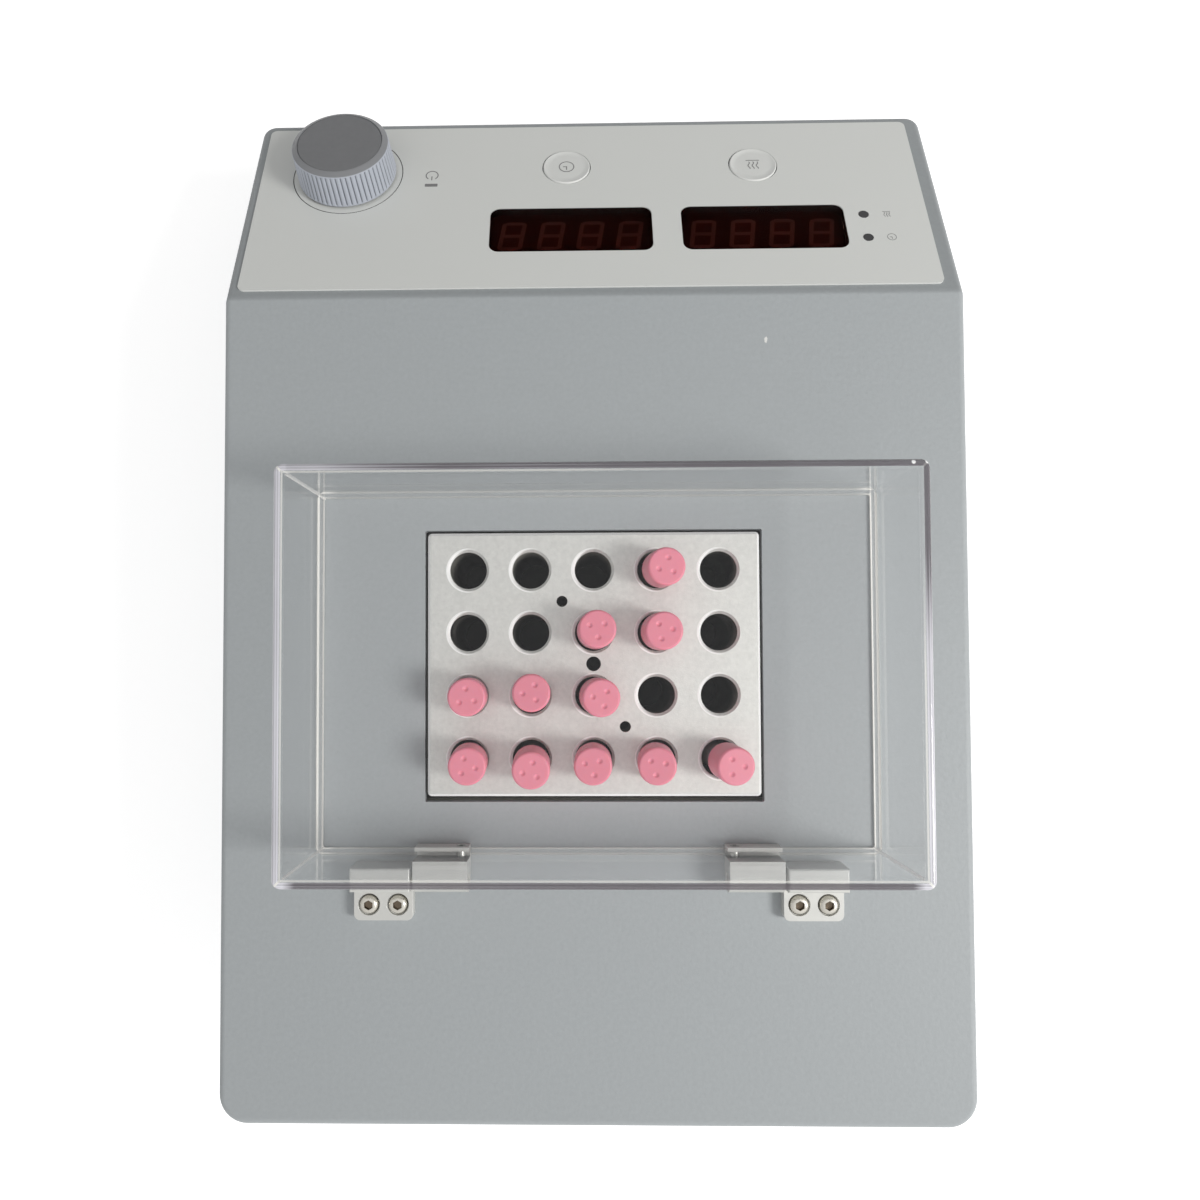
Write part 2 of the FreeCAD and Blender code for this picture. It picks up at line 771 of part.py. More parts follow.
def knob_cap():
    """The flat disc let into the knob's top."""
    radius = knob_top_r - knob_shoulder_width - knob_rim - 0.05
    disc = rod(radius, 0, 0, knob_top - knob_cap_recess, knob_top - 0.1)
    return on_panel(disc, knob_x, knob_p)


def panel_button(x):
    """A round push button with a retaining flange and a stem to its switch."""
    cap = rod(button_r, 0, 0, -casing_wall - 0.3, overlay_thickness + button_proud)
    cap = cap.makeFillet(0.25, edges_where(cap, lambda m, a: m.z > 0 and abs(a.z) < 0.1))
    top = -casing_wall - 0.1
    flange = rod(button_r + button_flange, 0, 0, top - button_flange_thickness, top)
    stem = rod(button_stem_r, 0, 0, board_top + switch_height - 0.3, top)
    return on_panel(cap.fuse([flange, stem]), x, button_p)


def tact_switch(x):
    """A switch on the board with a round well for the button's stem."""
    half = switch_width / 2
    can = block((-half, half), (-half, half), (board_top, board_top + switch_height))
    top = board_top + switch_height
    well = rod(button_stem_r + button_play, 0, 0, top - 1.6, top + 1)
    return on_panel(can.cut(well), x, button_p)


def block_tray():
    """The open-topped metal tray that the block and its heater sit in, with a top flange."""
    wall = tray_wall
    flange_top = roof_under - roof_boss_drop
    outer = block(
        (-tray_half_x - wall, tray_half_x + wall),
        (block_y - tray_half_y - wall, block_y + tray_half_y + wall),
        (tray_bottom, flange_top),
    )
    flange = block(
        (-tray_half_x - tray_flange, tray_half_x + tray_flange),
        (block_y - tray_half_y - wall, block_y + tray_half_y + wall),
        (flange_top - wall, flange_top),
    )
    inner = block(
        (-tray_half_x, tray_half_x), (block_y - tray_half_y, block_y + tray_half_y),
        (tray_bottom + wall, flange_top + 1),
    )
    hole, low, high = screw_r + screw_play, flange_top - wall - 1, flange_top + 1
    holes = [rod(hole, x, y, low, high) for x, y in tray_screw_places]
    holes += [rod(hole, x, y, tray_bottom - 1, tray_bottom + wall + 1) for x, y in heater_screw_places]
    inside, level = block_y + tray_half_y - 1, film_top - film_thickness / 2
    for x in heater_lead_xs:
        holes.append(Part.makeCylinder(lead_r + lead_play, wall + 2, Vector(x, inside, level), back))
    return outer.fuse(flange).cut([inner] + holes)


heater_lead_xs = (-heater_lead_pitch / 2, heater_lead_pitch / 2)
heater_screw_places = [
    (x * (block_width / 2 - heater_screw_inset), block_y + y * (block_length / 2 - heater_screw_inset))
    for x in (-1, 1)
    for y in (-1, 1)
]


def insulation_jacket():
    """The insulating sleeve round the tray's walls."""
    high = roof_under - roof_boss_drop - tray_wall
    low = film_top + jacket_lift
    wall = tray_wall
    wide, long = 2 * (tray_half_x + jacket_thickness), 2 * (tray_half_y + jacket_thickness)
    outer = rounded_block(wide, long, jacket_corner_r, low, high, 0, block_y)
    inner = block(
        (-tray_half_x - wall, tray_half_x + wall),
        (block_y - tray_half_y - wall, block_y + tray_half_y + wall), (low - 1, high + 1),
    )
    reach = screw_head_r + 1
    notches = [rod(reach, x, y, high - screw_head_h - 1, high + 1) for x, y in tray_screw_places]
    return outer.cut([inner] + notches)


def heater_layer(low, high, hole):
    """One flat layer under the block, as wide as the block, with its four screw holes."""
    layer = rounded_block(block_width, block_length, block_corner_r, low, high, 0, block_y)
    return layer.cut([rod(hole, x, y, low - 1, high + 1) for x, y in heater_screw_places])


def heater_plate():
    """The aluminium plate that carries the heat to the block, with a bore for the sensor."""
    plate = rounded_block(block_width, block_length, block_corner_r, film_top, heater_top, 0, block_y)
    cuts = [rod(screw_r + screw_play, x, y, film_top - 1, heater_top - 2) for x, y in heater_screw_places]
    cuts.append(Part.makeCylinder(sensor_r + 0.1, sensor_length, sensor_start(), back))
    return plate.cut(cuts)


def sensor_start():
    """The inner end of the sensor's bore in the heater plate."""
    return Vector(sensor_x, block_y + block_length / 2 - sensor_length + 1, (film_top + heater_top) / 2)


def temperature_sensor():
    """The probe in the heater plate's edge."""
    return Part.makeCylinder(sensor_r, sensor_length - 1, sensor_start(), back)


def insulation_pad():
    """The soft pad under the heater, with a pocket for the thermal cut-out."""
    pad = heater_layer(pad_top - pad_thickness, pad_top, screw_r + screw_play)
    return pad.cut(rod(cutout_r + 0.2, 0, block_y, pad_top - pad_thickness - 1, pad_top + 1))


def thermal_cutout():
    """The round thermostat pressed against the heating film."""
    low = pad_top - pad_thickness
    body = rod(cutout_r, 0, block_y, low, pad_top)
    rear = block_y + cutout_r + 1
    notch = block((-cutout_r, cutout_r), (block_y + cutout_notch, rear), (low - 1, (low + pad_top) / 2))
    return body.cut(notch)


def heater_screw(x, y):
    """A long screw from under the tray up into the heater plate."""
    length = heater_top - 3 - tray_bottom
    turn = Placement(Vector(x, y, tray_bottom), Rotation(Vector(1, 0, 0), 180))
    return moved(pan_screw(screw_r, length, screw_head_r, screw_head_h), turn)


def heating_block():
    """The metal block with its wells, the lifting handle's threaded hole and two probe holes."""
    body = rounded_block(block_width, block_length, block_corner_r, block_bottom, block_top, 0, block_y)
    rim = edges_where(body, lambda m, a: abs(a.z) < 0.1)
    body = body.makeChamfer(block_chamfer, rim)
    drill = turned((
        (0, -well_depth), (well_r, -well_depth), (well_r, -well_chamfer),
        (well_r + 2 * well_chamfer, well_chamfer), (0, well_chamfer),
    ))
    cuts = [shifted(drill, x, y, block_top) for _, x, y in wells()]
    cuts.append(rod(handle_hole_r, 0, block_y, block_top - handle_hole_depth, block_top + 1))
    for side in (-1, 1):
        x, y = side * well_pitch / 2, block_y - side * well_pitch
        cuts.append(rod(probe_hole_r, x, y, block_top - probe_hole_depth, block_top + 1))
    return body.cut(cuts)


def vial(column, row, lean_right, lean_back, spin):
    """A capped vial as two solids, tube and cap, leaning in its well."""
    place = {key: (x, y) for key, x, y in wells()}[column, row]
    under, inner = vial_reach, vial_r - vial_wall
    taper, rim = vial_tip_length - vial_reach, vial_cap_bottom + vial_cap_grip
    tube = turned((
        (0, -under), (vial_tip_r, -under), (vial_r, taper), (vial_r, rim), (inner, rim), (inner, taper),
        (vial_tip_r * 0.6, vial_wall - under), (0, vial_wall - under),
    ))
    skirt, bevel, top = vial_cap_bottom, vial_cap_bevel, vial_cap_top
    cap = turned((
        (vial_r, skirt), (vial_cap_r - bevel, skirt), (vial_cap_r, skirt + bevel),
        (vial_cap_r, top - bevel), (vial_cap_r - bevel, top), (0, top), (0, rim), (vial_r, rim),
    ))
    for k in range(3):
        angle = math.radians(spin + 120 * k)
        x, y = vial_dimple_circle * math.cos(angle), vial_dimple_circle * math.sin(angle)
        cap = cap.cut(rod(vial_dimple_r, x, y, vial_cap_top - vial_dimple_depth, vial_cap_top + 1))
    right, back = math.tan(math.radians(lean_right)), math.tan(math.radians(lean_back))
    lean = Rotation(up, Vector(right, back, 1))
    cross = Vector(place[0], place[1], block_top - vial_cross_depth)
    where = Placement(cross, lean).multiply(Placement(Vector(0, 0, vial_cross_depth), Rotation()))
    return [moved(tube, where), moved(cap, where)]


def lid_leaf_span():
    """Where the right leaf starts and ends along X."""
    outer = lid_x + bracket_inner - leaf_side_gap
    return outer - leaf_width, outer


def clamp_screw_start(y):
    """The point on the right leaf's clamp screw axis at a value of y."""
    return Vector(lid_leaf_span()[0] + clamp_screw_inset, y, lid_bottom + leaf_lip_height / 2)


def lid_cover():
    """The clear open-bottomed cover, notched where the two leaves hold its rear wall."""
    top = lid_bottom + lid_height
    outer = rounded_block(lid_width, lid_length, lid_corner_r, lid_bottom, top, lid_x, lid_y)
    outer = outer.makeFillet(lid_edge_r, edges_where(outer, lambda m, a: m.z > top - 0.01))
    wall = lid_wall
    inner = rounded_block(
        lid_width - 2 * wall, lid_length - 2 * wall, max(lid_corner_r - wall, 0.6),
        lid_bottom - 1, top - wall, lid_x, lid_y,
    )
    inner = inner.makeFillet(0.5, edges_where(inner, lambda m, a: m.z > top - wall - 0.01))
    low, high = lid_leaf_span()
    level = lid_bottom + leaf_floor + 0.1
    notch = block((low - 0.2, high + 0.2), (lid_back - wall - 1, lid_back + 1), (lid_bottom - 1, level))
    hole = Part.makeCylinder(clamp_screw_r + 0.1, wall + 2, clamp_screw_start(lid_back - wall - 1), back)
    cuts = [inner, notch, mirrored_about_lid(notch), hole, mirrored_about_lid(hole)]
    return outer.cut(cuts)


def hinge_barrel(low, high):
    """A round knuckle about the hinge axis between two values of x."""
    return Part.makeCylinder(hinge_r, high - low, Vector(low, hinge_y, hinge_z), Vector(1, 0, 0))


def pin_hole(low, high, play):
    """A cutter or pin about the hinge axis between two values of x."""
    return Part.makeCylinder(pin_r + play, high - low, Vector(low, hinge_y, hinge_z), Vector(1, 0, 0))


def lid_leaf():
    """The right-hand leaf: a knuckle with a lip that clamps the lid's rear wall."""
    low, high = lid_leaf_span()
    knuckle = hinge_barrel(low, high).fuse(
        block((low, high), (lid_back, hinge_y), (hinge_z - hinge_r, hinge_z + hinge_r))
    )
    front = lid_back - lid_wall - leaf_lip
    floor = block((low, high), (front, hinge_y), (lid_bottom, lid_bottom + leaf_floor))
    lip = block((low, high), (front, front + leaf_lip), (lid_bottom, lid_bottom + leaf_lip_height))
    leaf = knuckle.fuse([floor, lip]).removeSplitter()
    cuts = [pin_hole(low - 1, high + 1, pin_play)]
    start = clamp_screw_start(lid_back - lid_wall - leaf_lip - 1)
    cuts.append(Part.makeCylinder(clamp_screw_r + 0.1, clamp_screw_length + 1.5, start, back))
    return leaf.cut(cuts)


def lid_screw():
    """The headless screw that goes from inside the lid through the lip and wall into the leaf."""
    screw = rod(clamp_screw_r, 0, 0, -clamp_screw_length, 0)
    screw = screw.cut(hexagon(clamp_socket_width, -clamp_socket_depth, 1))
    seat = clamp_screw_start(lid_back - lid_wall - leaf_lip)
    return moved(screw, Placement(seat, Rotation(Vector(1, 0, 0), 90)))


def hinge_bracket():
    """The right-hand fixed bracket: a flat-topped stand on a plate with round rear corners."""
    low, high = lid_x + bracket_inner, lid_x + bracket_inner + bracket_width
    front, end, level = hinge_y - bracket_half_depth, hinge_y + bracket_reach, casing_top + bracket_plate
    plate = block((low, high), (front, end), (casing_top, level))
    corners = edges_where(plate, lambda m, a: abs(a.z) > 0.9 and m.y > end - 0.1)
    plate = plate.makeFillet(bracket_corner_r, corners)
    top = hinge_z + bracket_rise
    stand = block((low, high), (front, hinge_y + bracket_half_depth), (casing_top, top))
    stand = stand.makeFillet(bracket_edge_r, edges_where(stand, lambda m, a: m.z > top - 0.1))
    body = plate.fuse(stand).removeSplitter()
    cuts = [pin_hole(low - 1, high + 1, 0.0)]
    for x, y in bracket_screw_places()[:2]:
        cuts.append(rod(screw_r + screw_play, x, y, casing_top - 1, level + 1))
        cuts.append(rod(bracket_head_r + bracket_sink_play, x, y, level - bracket_sink, level + 1))
    return body.cut(cuts)


def bracket_screw_places():
    """Where the brackets' screws go: two on the right and two on the left."""
    middle, y = bracket_inner + bracket_width / 2, hinge_y + bracket_screw_back
    right = [(lid_x + middle + side * bracket_screw_pitch / 2, y) for side in (-1, 1)]
    return right + [(2 * lid_x - x, y) for x, y in right]


def bracket_screw(x, y):
    """A button-head screw that holds a bracket to the casing."""
    screw = button_screw(screw_r, bracket_plate + casing_wall + 1.5, bracket_head_r, bracket_head_h)
    return shifted(screw, x, y, casing_top + bracket_plate - bracket_sink)


def hinge_pin():
    """The right-hand pin through the bracket and the leaf."""
    return pin_hole(lid_leaf_span()[0] + 0.5, lid_x + bracket_inner + bracket_width - 0.5, 0.0)


def on_board(middle_x, middle_y, width, length, height):
    """A plain component that stands on the supply board."""
    x, y, top = middle_x, power_board_y + middle_y, power_board_z + board_thickness
    return block((x - width / 2, x + width / 2), (y - length / 2, y + length / 2), (top, top + height))


def power_board():
    """The supply board with its relay, capacitor, terminals and ribbon header."""
    top = power_board_z + board_thickness
    board = rounded_block(power_board_width, power_board_length, 2.0, power_board_z, top, 0, power_board_y)
    hole, low = screw_r + screw_play, power_board_z - 1
    board = board.cut([rod(hole, x, y, low, top + 1) for x, y in power_screw_places])
    capacitor = rod(capacitor_r, capacitor_x, power_board_y, top, top + capacitor_height)
    parts = (relay, mains_terminals, heater_terminals, ribbon_header)
    return [board, capacitor] + [on_board(*part) for part in parts]


def power_transformer():
    """The small transformer: a coil between the limbs of its laminated core."""
    x, y, foot = transformer_x, power_board_y, power_board_z + board_thickness
    low, high = foot + coil_lift, foot + coil_lift + core_height
    room_low, room_high = low + core_limb, high - core_limb
    half, limb = core_width / 2, core_limb * 0.8
    core = block((x - half, x + half), (y - core_length / 2, y + core_length / 2), (low, high))
    open_half, deep = half - core_limb, core_length / 2
    room = block((x - open_half, x + open_half), (y - 2 * deep, y + 2 * deep), (room_low, room_high))
    middle = block((x - limb, x + limb), (y - deep, y + deep), (room_low, room_high))
    ends = (x - half + core_limb / 2, x + half - core_limb / 2)
    feet = [block((end - 1.5, end + 1.5), (y - 2, y + 2), (foot, low)) for end in ends]
    wide = core_width - 2 * core_limb - 2 * coil_play
    bottom, height = room_low + coil_play, room_high - coil_play
    coil = rounded_block(wide, coil_length, coil_corner_r, bottom, height, x, y)
    return [core.cut(room).fuse([middle] + feet), coil.cut(middle)]


def inlet_screw_heights():
    """Heights of the inlet's two screws."""
    return [inlet_z + side * inlet_screw_pitch / 2 for side in (-1, 1)]


def socket_face(width, height, cut, y):
    """An upright face across Y with its two upper corners cut off, as the mains socket has."""
    a, b, z = width / 2, height / 2, inlet_z + socket_up
    ring = ((-a, -b), (a, -b), (a, b - cut), (a - cut, b), (cut - a, b), (-a, b - cut), (-a, -b))
    return Part.Face(Part.makePolygon([Vector(inlet_x + x, y, z + h) for x, h in ring]))


def power_inlet():
    """The mains socket's housing, with its recess and the fuse drawer's pocket."""
    flange = rounded_face(inlet_flange_width, inlet_flange_height, inlet_flange_r)
    upright = Placement(Vector(inlet_x, rear_y, inlet_z), Rotation(Vector(1, 0, 0), 90))
    flange = moved(flange, upright).extrude(Vector(0, inlet_flange_thickness, 0))
    half, tall = inlet_body_width / 2, inlet_body_height / 2
    deep = rear_y - inlet_body_depth
    body = block((inlet_x - half, inlet_x + half), (deep, rear_y + 1), (inlet_z - tall, inlet_z + tall))
    face_y = rear_y + inlet_flange_thickness
    floor = face_y - socket_recess_depth
    recess = socket_face(socket_recess_width, socket_recess_height, socket_recess_cut, floor)
    recess = recess.extrude(Vector(0, socket_recess_depth + 1, 0))
    drawer_z = inlet_z - fuse_down
    wide, high = fuse_width / 2 + fuse_play, fuse_height / 2 + fuse_play
    drawer = block(
        (inlet_x - wide, inlet_x + wide), (face_y - fuse_depth - 1, face_y + 1),
        (drawer_z - high, drawer_z + high),
    )
    holes = [
        Part.makeCylinder(screw_r + screw_play, short_screw_length, Vector(inlet_x, rear_y - 1, z), back)
        for z in inlet_screw_heights()
    ]
    return flange.fuse(body).cut([recess, drawer] + holes)


def contact_height_at(side):
    """Height of one contact: the middle one (side 0) stands above the outer two."""
    return inlet_z + socket_up + (contact_drop / 2 + 0.6 if side == 0 else -contact_drop / 2)


def inlet_contacts():
    """The socket's three flat contacts with their solder tags inside the instrument."""
    floor = rear_y + inlet_flange_thickness - socket_recess_depth
    tag_y = rear_y - inlet_body_depth
    half_wide, half_high = contact_width / 2, contact_height / 2
    contacts = []
    for side in (-1, 0, 1):
        x, z = inlet_x + side * contact_pitch, contact_height_at(side)
        contacts.append(block(
            (x - half_wide, x + half_wide), (floor, floor + contact_length), (z - half_high, z + half_high)
        ))
        thin, tall = tag_thickness / 2, tag_height / 2
        contacts.append(block((x - thin, x + thin), (tag_y - tag_length, tag_y), (z - tall, z + tall)))
    return contacts


def fuse_drawer():
    """The small drawer with the fuses under the socket."""
    face_y = rear_y + inlet_flange_thickness
    z, half, tall = inlet_z - fuse_down, fuse_width / 2, fuse_height / 2
    drawer = block((inlet_x - half, inlet_x + half), (face_y - fuse_depth, face_y), (z - tall, z + tall))
    grip = block((inlet_x - 4, inlet_x + 4), (face_y - 1.2, face_y + 1), (z + tall - 2.4, z + fuse_height))
    return drawer.cut(grip)


def inlet_screw(z):
    """A screw through the inlet's flange into the rear wall."""
    screw = pan_screw(screw_r, short_screw_length, screw_head_r, screw_head_h)
    seat = Vector(inlet_x, rear_y + inlet_flange_thickness, z)
    return moved(screw, Placement(seat, Rotation(Vector(1, 0, 0), -90)))


def mains_leads():
    """Three leads from the socket's tags to the terminals of the supply board."""
    tag_y, y = rear_y - inlet_body_depth - tag_length, power_board_y + mains_terminals[1]
    end_z = power_board_z + board_thickness + mains_terminals[4]
    leads = []
    for side in (-1, 0, 1):
        z = contact_height_at(side)
        x, end_x = inlet_x + side * contact_pitch, mains_terminals[0] + side * contact_pitch
        leads.append(lead((
            (x, tag_y, z), (x, tag_y - tag_length, z),
            (end_x, y, z - mains_lead_drop), (end_x, y, end_z),
        ), lead_r))
    return leads


def heater_leads():
    """Two leads from the heating film, through the tray's rear wall, to the supply board."""
    start_y, z = block_y + block_length / 2, film_top - film_thickness / 2
    end_y = power_board_y + heater_terminals[1]
    end_z = power_board_z + board_thickness + heater_terminals[4]
    leads = []
    for x in heater_lead_xs:
        end_x = heater_terminals[0] + x
        leads.append(lead((
            (x, start_y, z), (x, start_y + heater_lead_run, z),
            (end_x, end_y, z + heater_lead_rise), (end_x, end_y, end_z),
        ), lead_r))
    return leads


def display_ribbon():
    """The flat cable from the supply board, along the base, to the control board."""
    x, y = ribbon_header[0], power_board_y + ribbon_header[1]
    z = power_board_z + board_thickness + ribbon_header[4]
    floor = casing_z + ribbon_thickness / 2 + 0.05
    tilt = Rotation(Vector(1, 0, 0), panel_slope)
    end = Vector(x, crease_y, casing_top) + tilt.multVec(Vector(0, -ribbon_p, board_bottom))
    below = end + tilt.multVec(Vector(0, 0, -1.6 * ribbon_rise))
    path = route([
        Vector(x, y, z), Vector(x, y, z + ribbon_rise), Vector(x, y - 3 * ribbon_rise, z + ribbon_rise),
        Vector(x, y - 4.5 * ribbon_rise, floor), Vector(x, below.y + 2 * ribbon_rise, floor), below, end,
    ])
    half, thin = ribbon_width / 2, ribbon_thickness / 2
    ring = ((-half, -thin), (half, -thin), (half, thin), (-half, thin), (-half, -thin))
    profile = Part.makePolygon([Vector(x + across, y + along, z) for across, along in ring])
    return path.makePipeShell([profile], True, False)


def build():
    """Makes every piece and writes it to its own file."""
    os.makedirs("parts", exist_ok=True)
    write("upper_casing", upper_casing())
    write("base_plate", base_plate())
    write("rubber_feet", [rubber_foot(x, y) for x, y in corner_boss_places])
    write("base_screws", [base_screw(x, y) for x, y in corner_boss_places])
    write("inner_screws", inner_screws())
    write("panel_overlay", panel_overlay())
    write("knob_seat", knob_seat())
    write("timer_window", display_window(timer_window_x))
    write("heat_window", display_window(heat_window_x))
    write("timer_digits", digit_module(timer_window_x))
    write("heat_digits", digit_module(heat_window_x))
    write("indicator_leds", [indicator_led(p) for p in led_p])
    write("control_board", control_board())
    write("encoder_body", encoder_body())
    write("encoder_plunger", encoder_plunger())
    write("encoder_nut", encoder_nut())
    write("encoder_shaft", encoder_shaft())
    write("knob_body", knob_body())
    write("knob_cap", knob_cap())
    write("timer_button", panel_button(timer_button_x))
    write("heat_button", panel_button(heat_button_x))
    write("tact_switches", [tact_switch(x) for x in (timer_button_x, heat_button_x)])
    write("block_tray", block_tray())
    write("insulation_jacket", insulation_jacket())
    write("heater_plate", heater_plate())
    write("heating_film", heater_layer(pad_top, film_top, screw_r + screw_play))
    write("insulation_pad", insulation_pad())
    write("heater_screws", [heater_screw(x, y) for x, y in heater_screw_places])
    write("temperature_sensor", temperature_sensor())
    write("thermal_cutout", thermal_cutout())
    write("heating_block", heating_block())
    write("lid_cover", lid_cover())
    write("lid_leaf_right", lid_leaf())
    write("lid_leaf_left", mirrored_about_lid(lid_leaf()))
    write("lid_screws", [lid_screw(), mirrored_about_lid(lid_screw())])
    write("hinge_bracket_right", hinge_bracket())
    write("hinge_bracket_left", mirrored_about_lid(hinge_bracket()))
    write("bracket_screws", [bracket_screw(x, y) for x, y in bracket_screw_places()])
    write("hinge_pins", [hinge_pin(), mirrored_about_lid(hinge_pin())])
    write("power_board", power_board())
    write("power_transformer", power_transformer())
    write("power_inlet", power_inlet())
    write("inlet_contacts", inlet_contacts())
    write("fuse_drawer", fuse_drawer())
    write("inlet_screws", [inlet_screw(z) for z in inlet_screw_heights()])
    write("mains_leads", mains_leads())
    write("heater_leads", heater_leads())
    write("display_ribbon", display_ribbon())
    for number, place in enumerate(vials, 1):
        write("vial_%02d" % number, vial(*place))


build()
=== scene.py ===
import json
import math

import bmesh
import bpy
import numpy as np
from mathutils import Matrix, Vector


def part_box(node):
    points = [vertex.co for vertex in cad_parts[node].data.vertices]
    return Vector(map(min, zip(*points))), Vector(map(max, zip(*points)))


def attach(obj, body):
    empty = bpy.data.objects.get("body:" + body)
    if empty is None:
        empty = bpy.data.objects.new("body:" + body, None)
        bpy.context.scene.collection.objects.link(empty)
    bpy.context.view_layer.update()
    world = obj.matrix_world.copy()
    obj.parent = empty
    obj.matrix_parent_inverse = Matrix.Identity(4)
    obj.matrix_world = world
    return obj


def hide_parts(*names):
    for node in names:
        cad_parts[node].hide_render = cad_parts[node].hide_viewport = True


# Dry bath incubator, dressed for rendering. Metres, +Z up, the panel's front towards -Y, its right
# towards +X.
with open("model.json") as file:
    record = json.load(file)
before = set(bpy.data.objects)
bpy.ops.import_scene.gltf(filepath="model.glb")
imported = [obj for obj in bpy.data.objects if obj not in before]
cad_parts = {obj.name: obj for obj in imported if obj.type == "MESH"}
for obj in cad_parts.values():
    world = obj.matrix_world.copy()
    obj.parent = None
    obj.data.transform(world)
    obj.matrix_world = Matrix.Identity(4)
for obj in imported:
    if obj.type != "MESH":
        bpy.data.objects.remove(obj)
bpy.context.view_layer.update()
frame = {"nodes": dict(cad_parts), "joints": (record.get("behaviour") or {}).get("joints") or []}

MM = 0.001

# Numbers of a Mix node's two colour inputs and of its colour output
MIX_LOW_COLOUR, MIX_HIGH_COLOUR, MIX_COLOUR = 6, 7, 2

# Sizes that the pieces below share, in millimetres. On the panel, x is to the right and p down
# the slope from the crease where the flat top begins.
PANEL_SLOPE = 22.2
PANEL_RUN = 71.5
KNOB_PLACE = (76.8, 52.2)
TIMER_BUTTON, HEAT_BUTTON = (7.3, 54.4), (-51.7, 54.4)
TIMER_WINDOW, HEAT_WINDOW = (6.0, 26.8), (-52.5, 26.8)
LAMP_X, HEAT_LAMP_P, TIMER_LAMP_P = -83.2, 31.6, 21.8
KNOB_SIGN_X = 50.0
SHEET, PRINT_HEIGHT = 0.5, 0.03
WINDOW_LENGTH, WINDOW_WIDTH, WINDOW_CORNER, WINDOW_THICKNESS = 49.3, 18.2, 3.0, 2.1
FIGURE_PITCH, FIGURE_LEAN = 12.0, 8.0
KEY_TOP = 0.74
KNOB_BOTTOM, KNOB_SHOULDER, KNOB_TOP = 1.2, 10.4, 11.3
KNOB_FOOT_RADIUS, KNOB_TAPER = 15.5, 0.7
KNOB_WELL_RADIUS, KNOB_WELL_DEPTH = 13.0, 1.2
CHIP_PLACE, CHIP_HALF = (-50.3, -72.2), (0.55, 1.25)
BLOCK_CHAMFER = 0.8
WELL_COLUMNS, WELL_ROWS, WELL_PITCH, CROSS_DEPTH = 5, 4, 18.0, 10.0
# Sizes of the painted highlight on each well's mouth: the mouth's radius, how far the highlight reaches
# outside it, and how far its crescent's circle is shifted
MOUTH_RADIUS, MOUTH_EDGE, MOUTH_SHIFT = 6.0, 0.45, 1.0
# The cover's wall, and the pitch of the painted streaks along its rim
LID_WALL, RIM_LINE_PITCH = 2.0, 0.75
BRACKET_TOP, BRACKET_SEAT, BRACKET_SCREW_PITCH, BRACKET_SCREW_END = 3.0, 2.3, 8.2, 4.5
HEAD_RADIUS, HEAD_HEIGHT, SOCKET_RADIUS = 2.65, 1.63, 1.1

# Vials: column from the right, row from the front, turn of the cap's three dimples in degrees
VIALS = ((4, 1, 20), (3, 2, 95), (4, 2, 70), (1, 3, 35), (2, 3, 5), (3, 3, 110),
         (1, 4, 50), (2, 4, 15), (3, 4, 100), (4, 4, 80), (5, 4, 60))

casing_low, casing_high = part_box("upper_casing")
block_low, block_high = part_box("heating_block")
lid_low, lid_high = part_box("lid_cover")
TOP = casing_high.z
CREASE = casing_low.y + PANEL_RUN * MM
PANEL = Matrix.Translation((0, CREASE, TOP)) @ Matrix.Rotation(math.radians(PANEL_SLOPE), 4, "X")


# Shapes worked out as arrays, in millimetres

def ring_faces(rows, columns, loop=False):
    """Four-sided faces between neighbouring rings of a grid whose columns close on themselves.
    With loop, the last ring also joins the first."""
    started = np.arange(rows if loop else rows - 1)
    row, column = np.meshgrid(started, np.arange(columns), indexing="ij")
    after, beside = (row + 1) % rows, (column + 1) % columns
    here, there = row * columns, after * columns
    corners = [here + column, here + beside, there + beside, there + column]
    return np.stack(corners, -1).reshape(-1, 4)


def closed_rings(rings, low=None, high=None):
    """(points, faces) of a skin through a stack of rings. low and high are the points that close
    the first and last ring with a fan of triangles; with neither, the stack closes on itself."""
    rows, columns = rings.shape[:2]
    points = rings.reshape(-1, 3)
    if low is None:
        return points, ring_faces(rows, columns, True).tolist()
    faces = ring_faces(rows, columns).tolist()
    here = np.arange(columns)
    beside = (here + 1) % columns
    first, last = len(points), len(points) + 1
    faces += np.stack([np.full(columns, first), beside, here], -1).tolist()
    top = (rows - 1) * columns
    faces += np.stack([np.full(columns, last), top + here, top + beside], -1).tolist()
    return np.vstack([points, [low], [high]]), faces


def softened(profile, radius, steps):
    """The profile with each corner between its ends rounded: the corner becomes a quadratic
    curve that starts and ends `radius` away from it on its two sides, or 0.45 of a shorter side."""
    profile = np.asarray(profile, float)
    before, corner, after = profile[:-2], profile[1:-1], profile[2:]
    inward, outward = before - corner, after - corner
    inward_length = np.linalg.norm(inward, axis=1, keepdims=True)
    outward_length = np.linalg.norm(outward, axis=1, keepdims=True)
    start = corner + inward / inward_length * np.minimum(radius, 0.45 * inward_length)
    end = corner + outward / outward_length * np.minimum(radius, 0.45 * outward_length)
    t = np.linspace(0, 1, steps + 1)[None, :, None]
    curve = (1 - t) ** 2 * start[:, None] + 2 * t * (1 - t) * corner[:, None]
    curve = curve + t ** 2 * end[:, None]
    return np.vstack([profile[:1], curve.reshape(-1, 2), profile[-1:]])


def turned(profile, segments):
    """A solid of revolution: the (radius, height) profile runs from the axis at the bottom,
    outside, to the axis at the top, and x = r cos a, y = r sin a round the axis."""
    profile = np.asarray(profile, float)
    angle = np.linspace(0, 2 * np.pi, segments, endpoint=False)
    radius, height = profile[1:-1, 0][:, None], profile[1:-1, 1][:, None]
    rings = np.stack([radius * np.cos(angle), radius * np.sin(angle), height + 0 * angle], -1)
    return closed_rings(rings, (0, 0, profile[0, 1]), (0, 0, profile[-1, 1]))


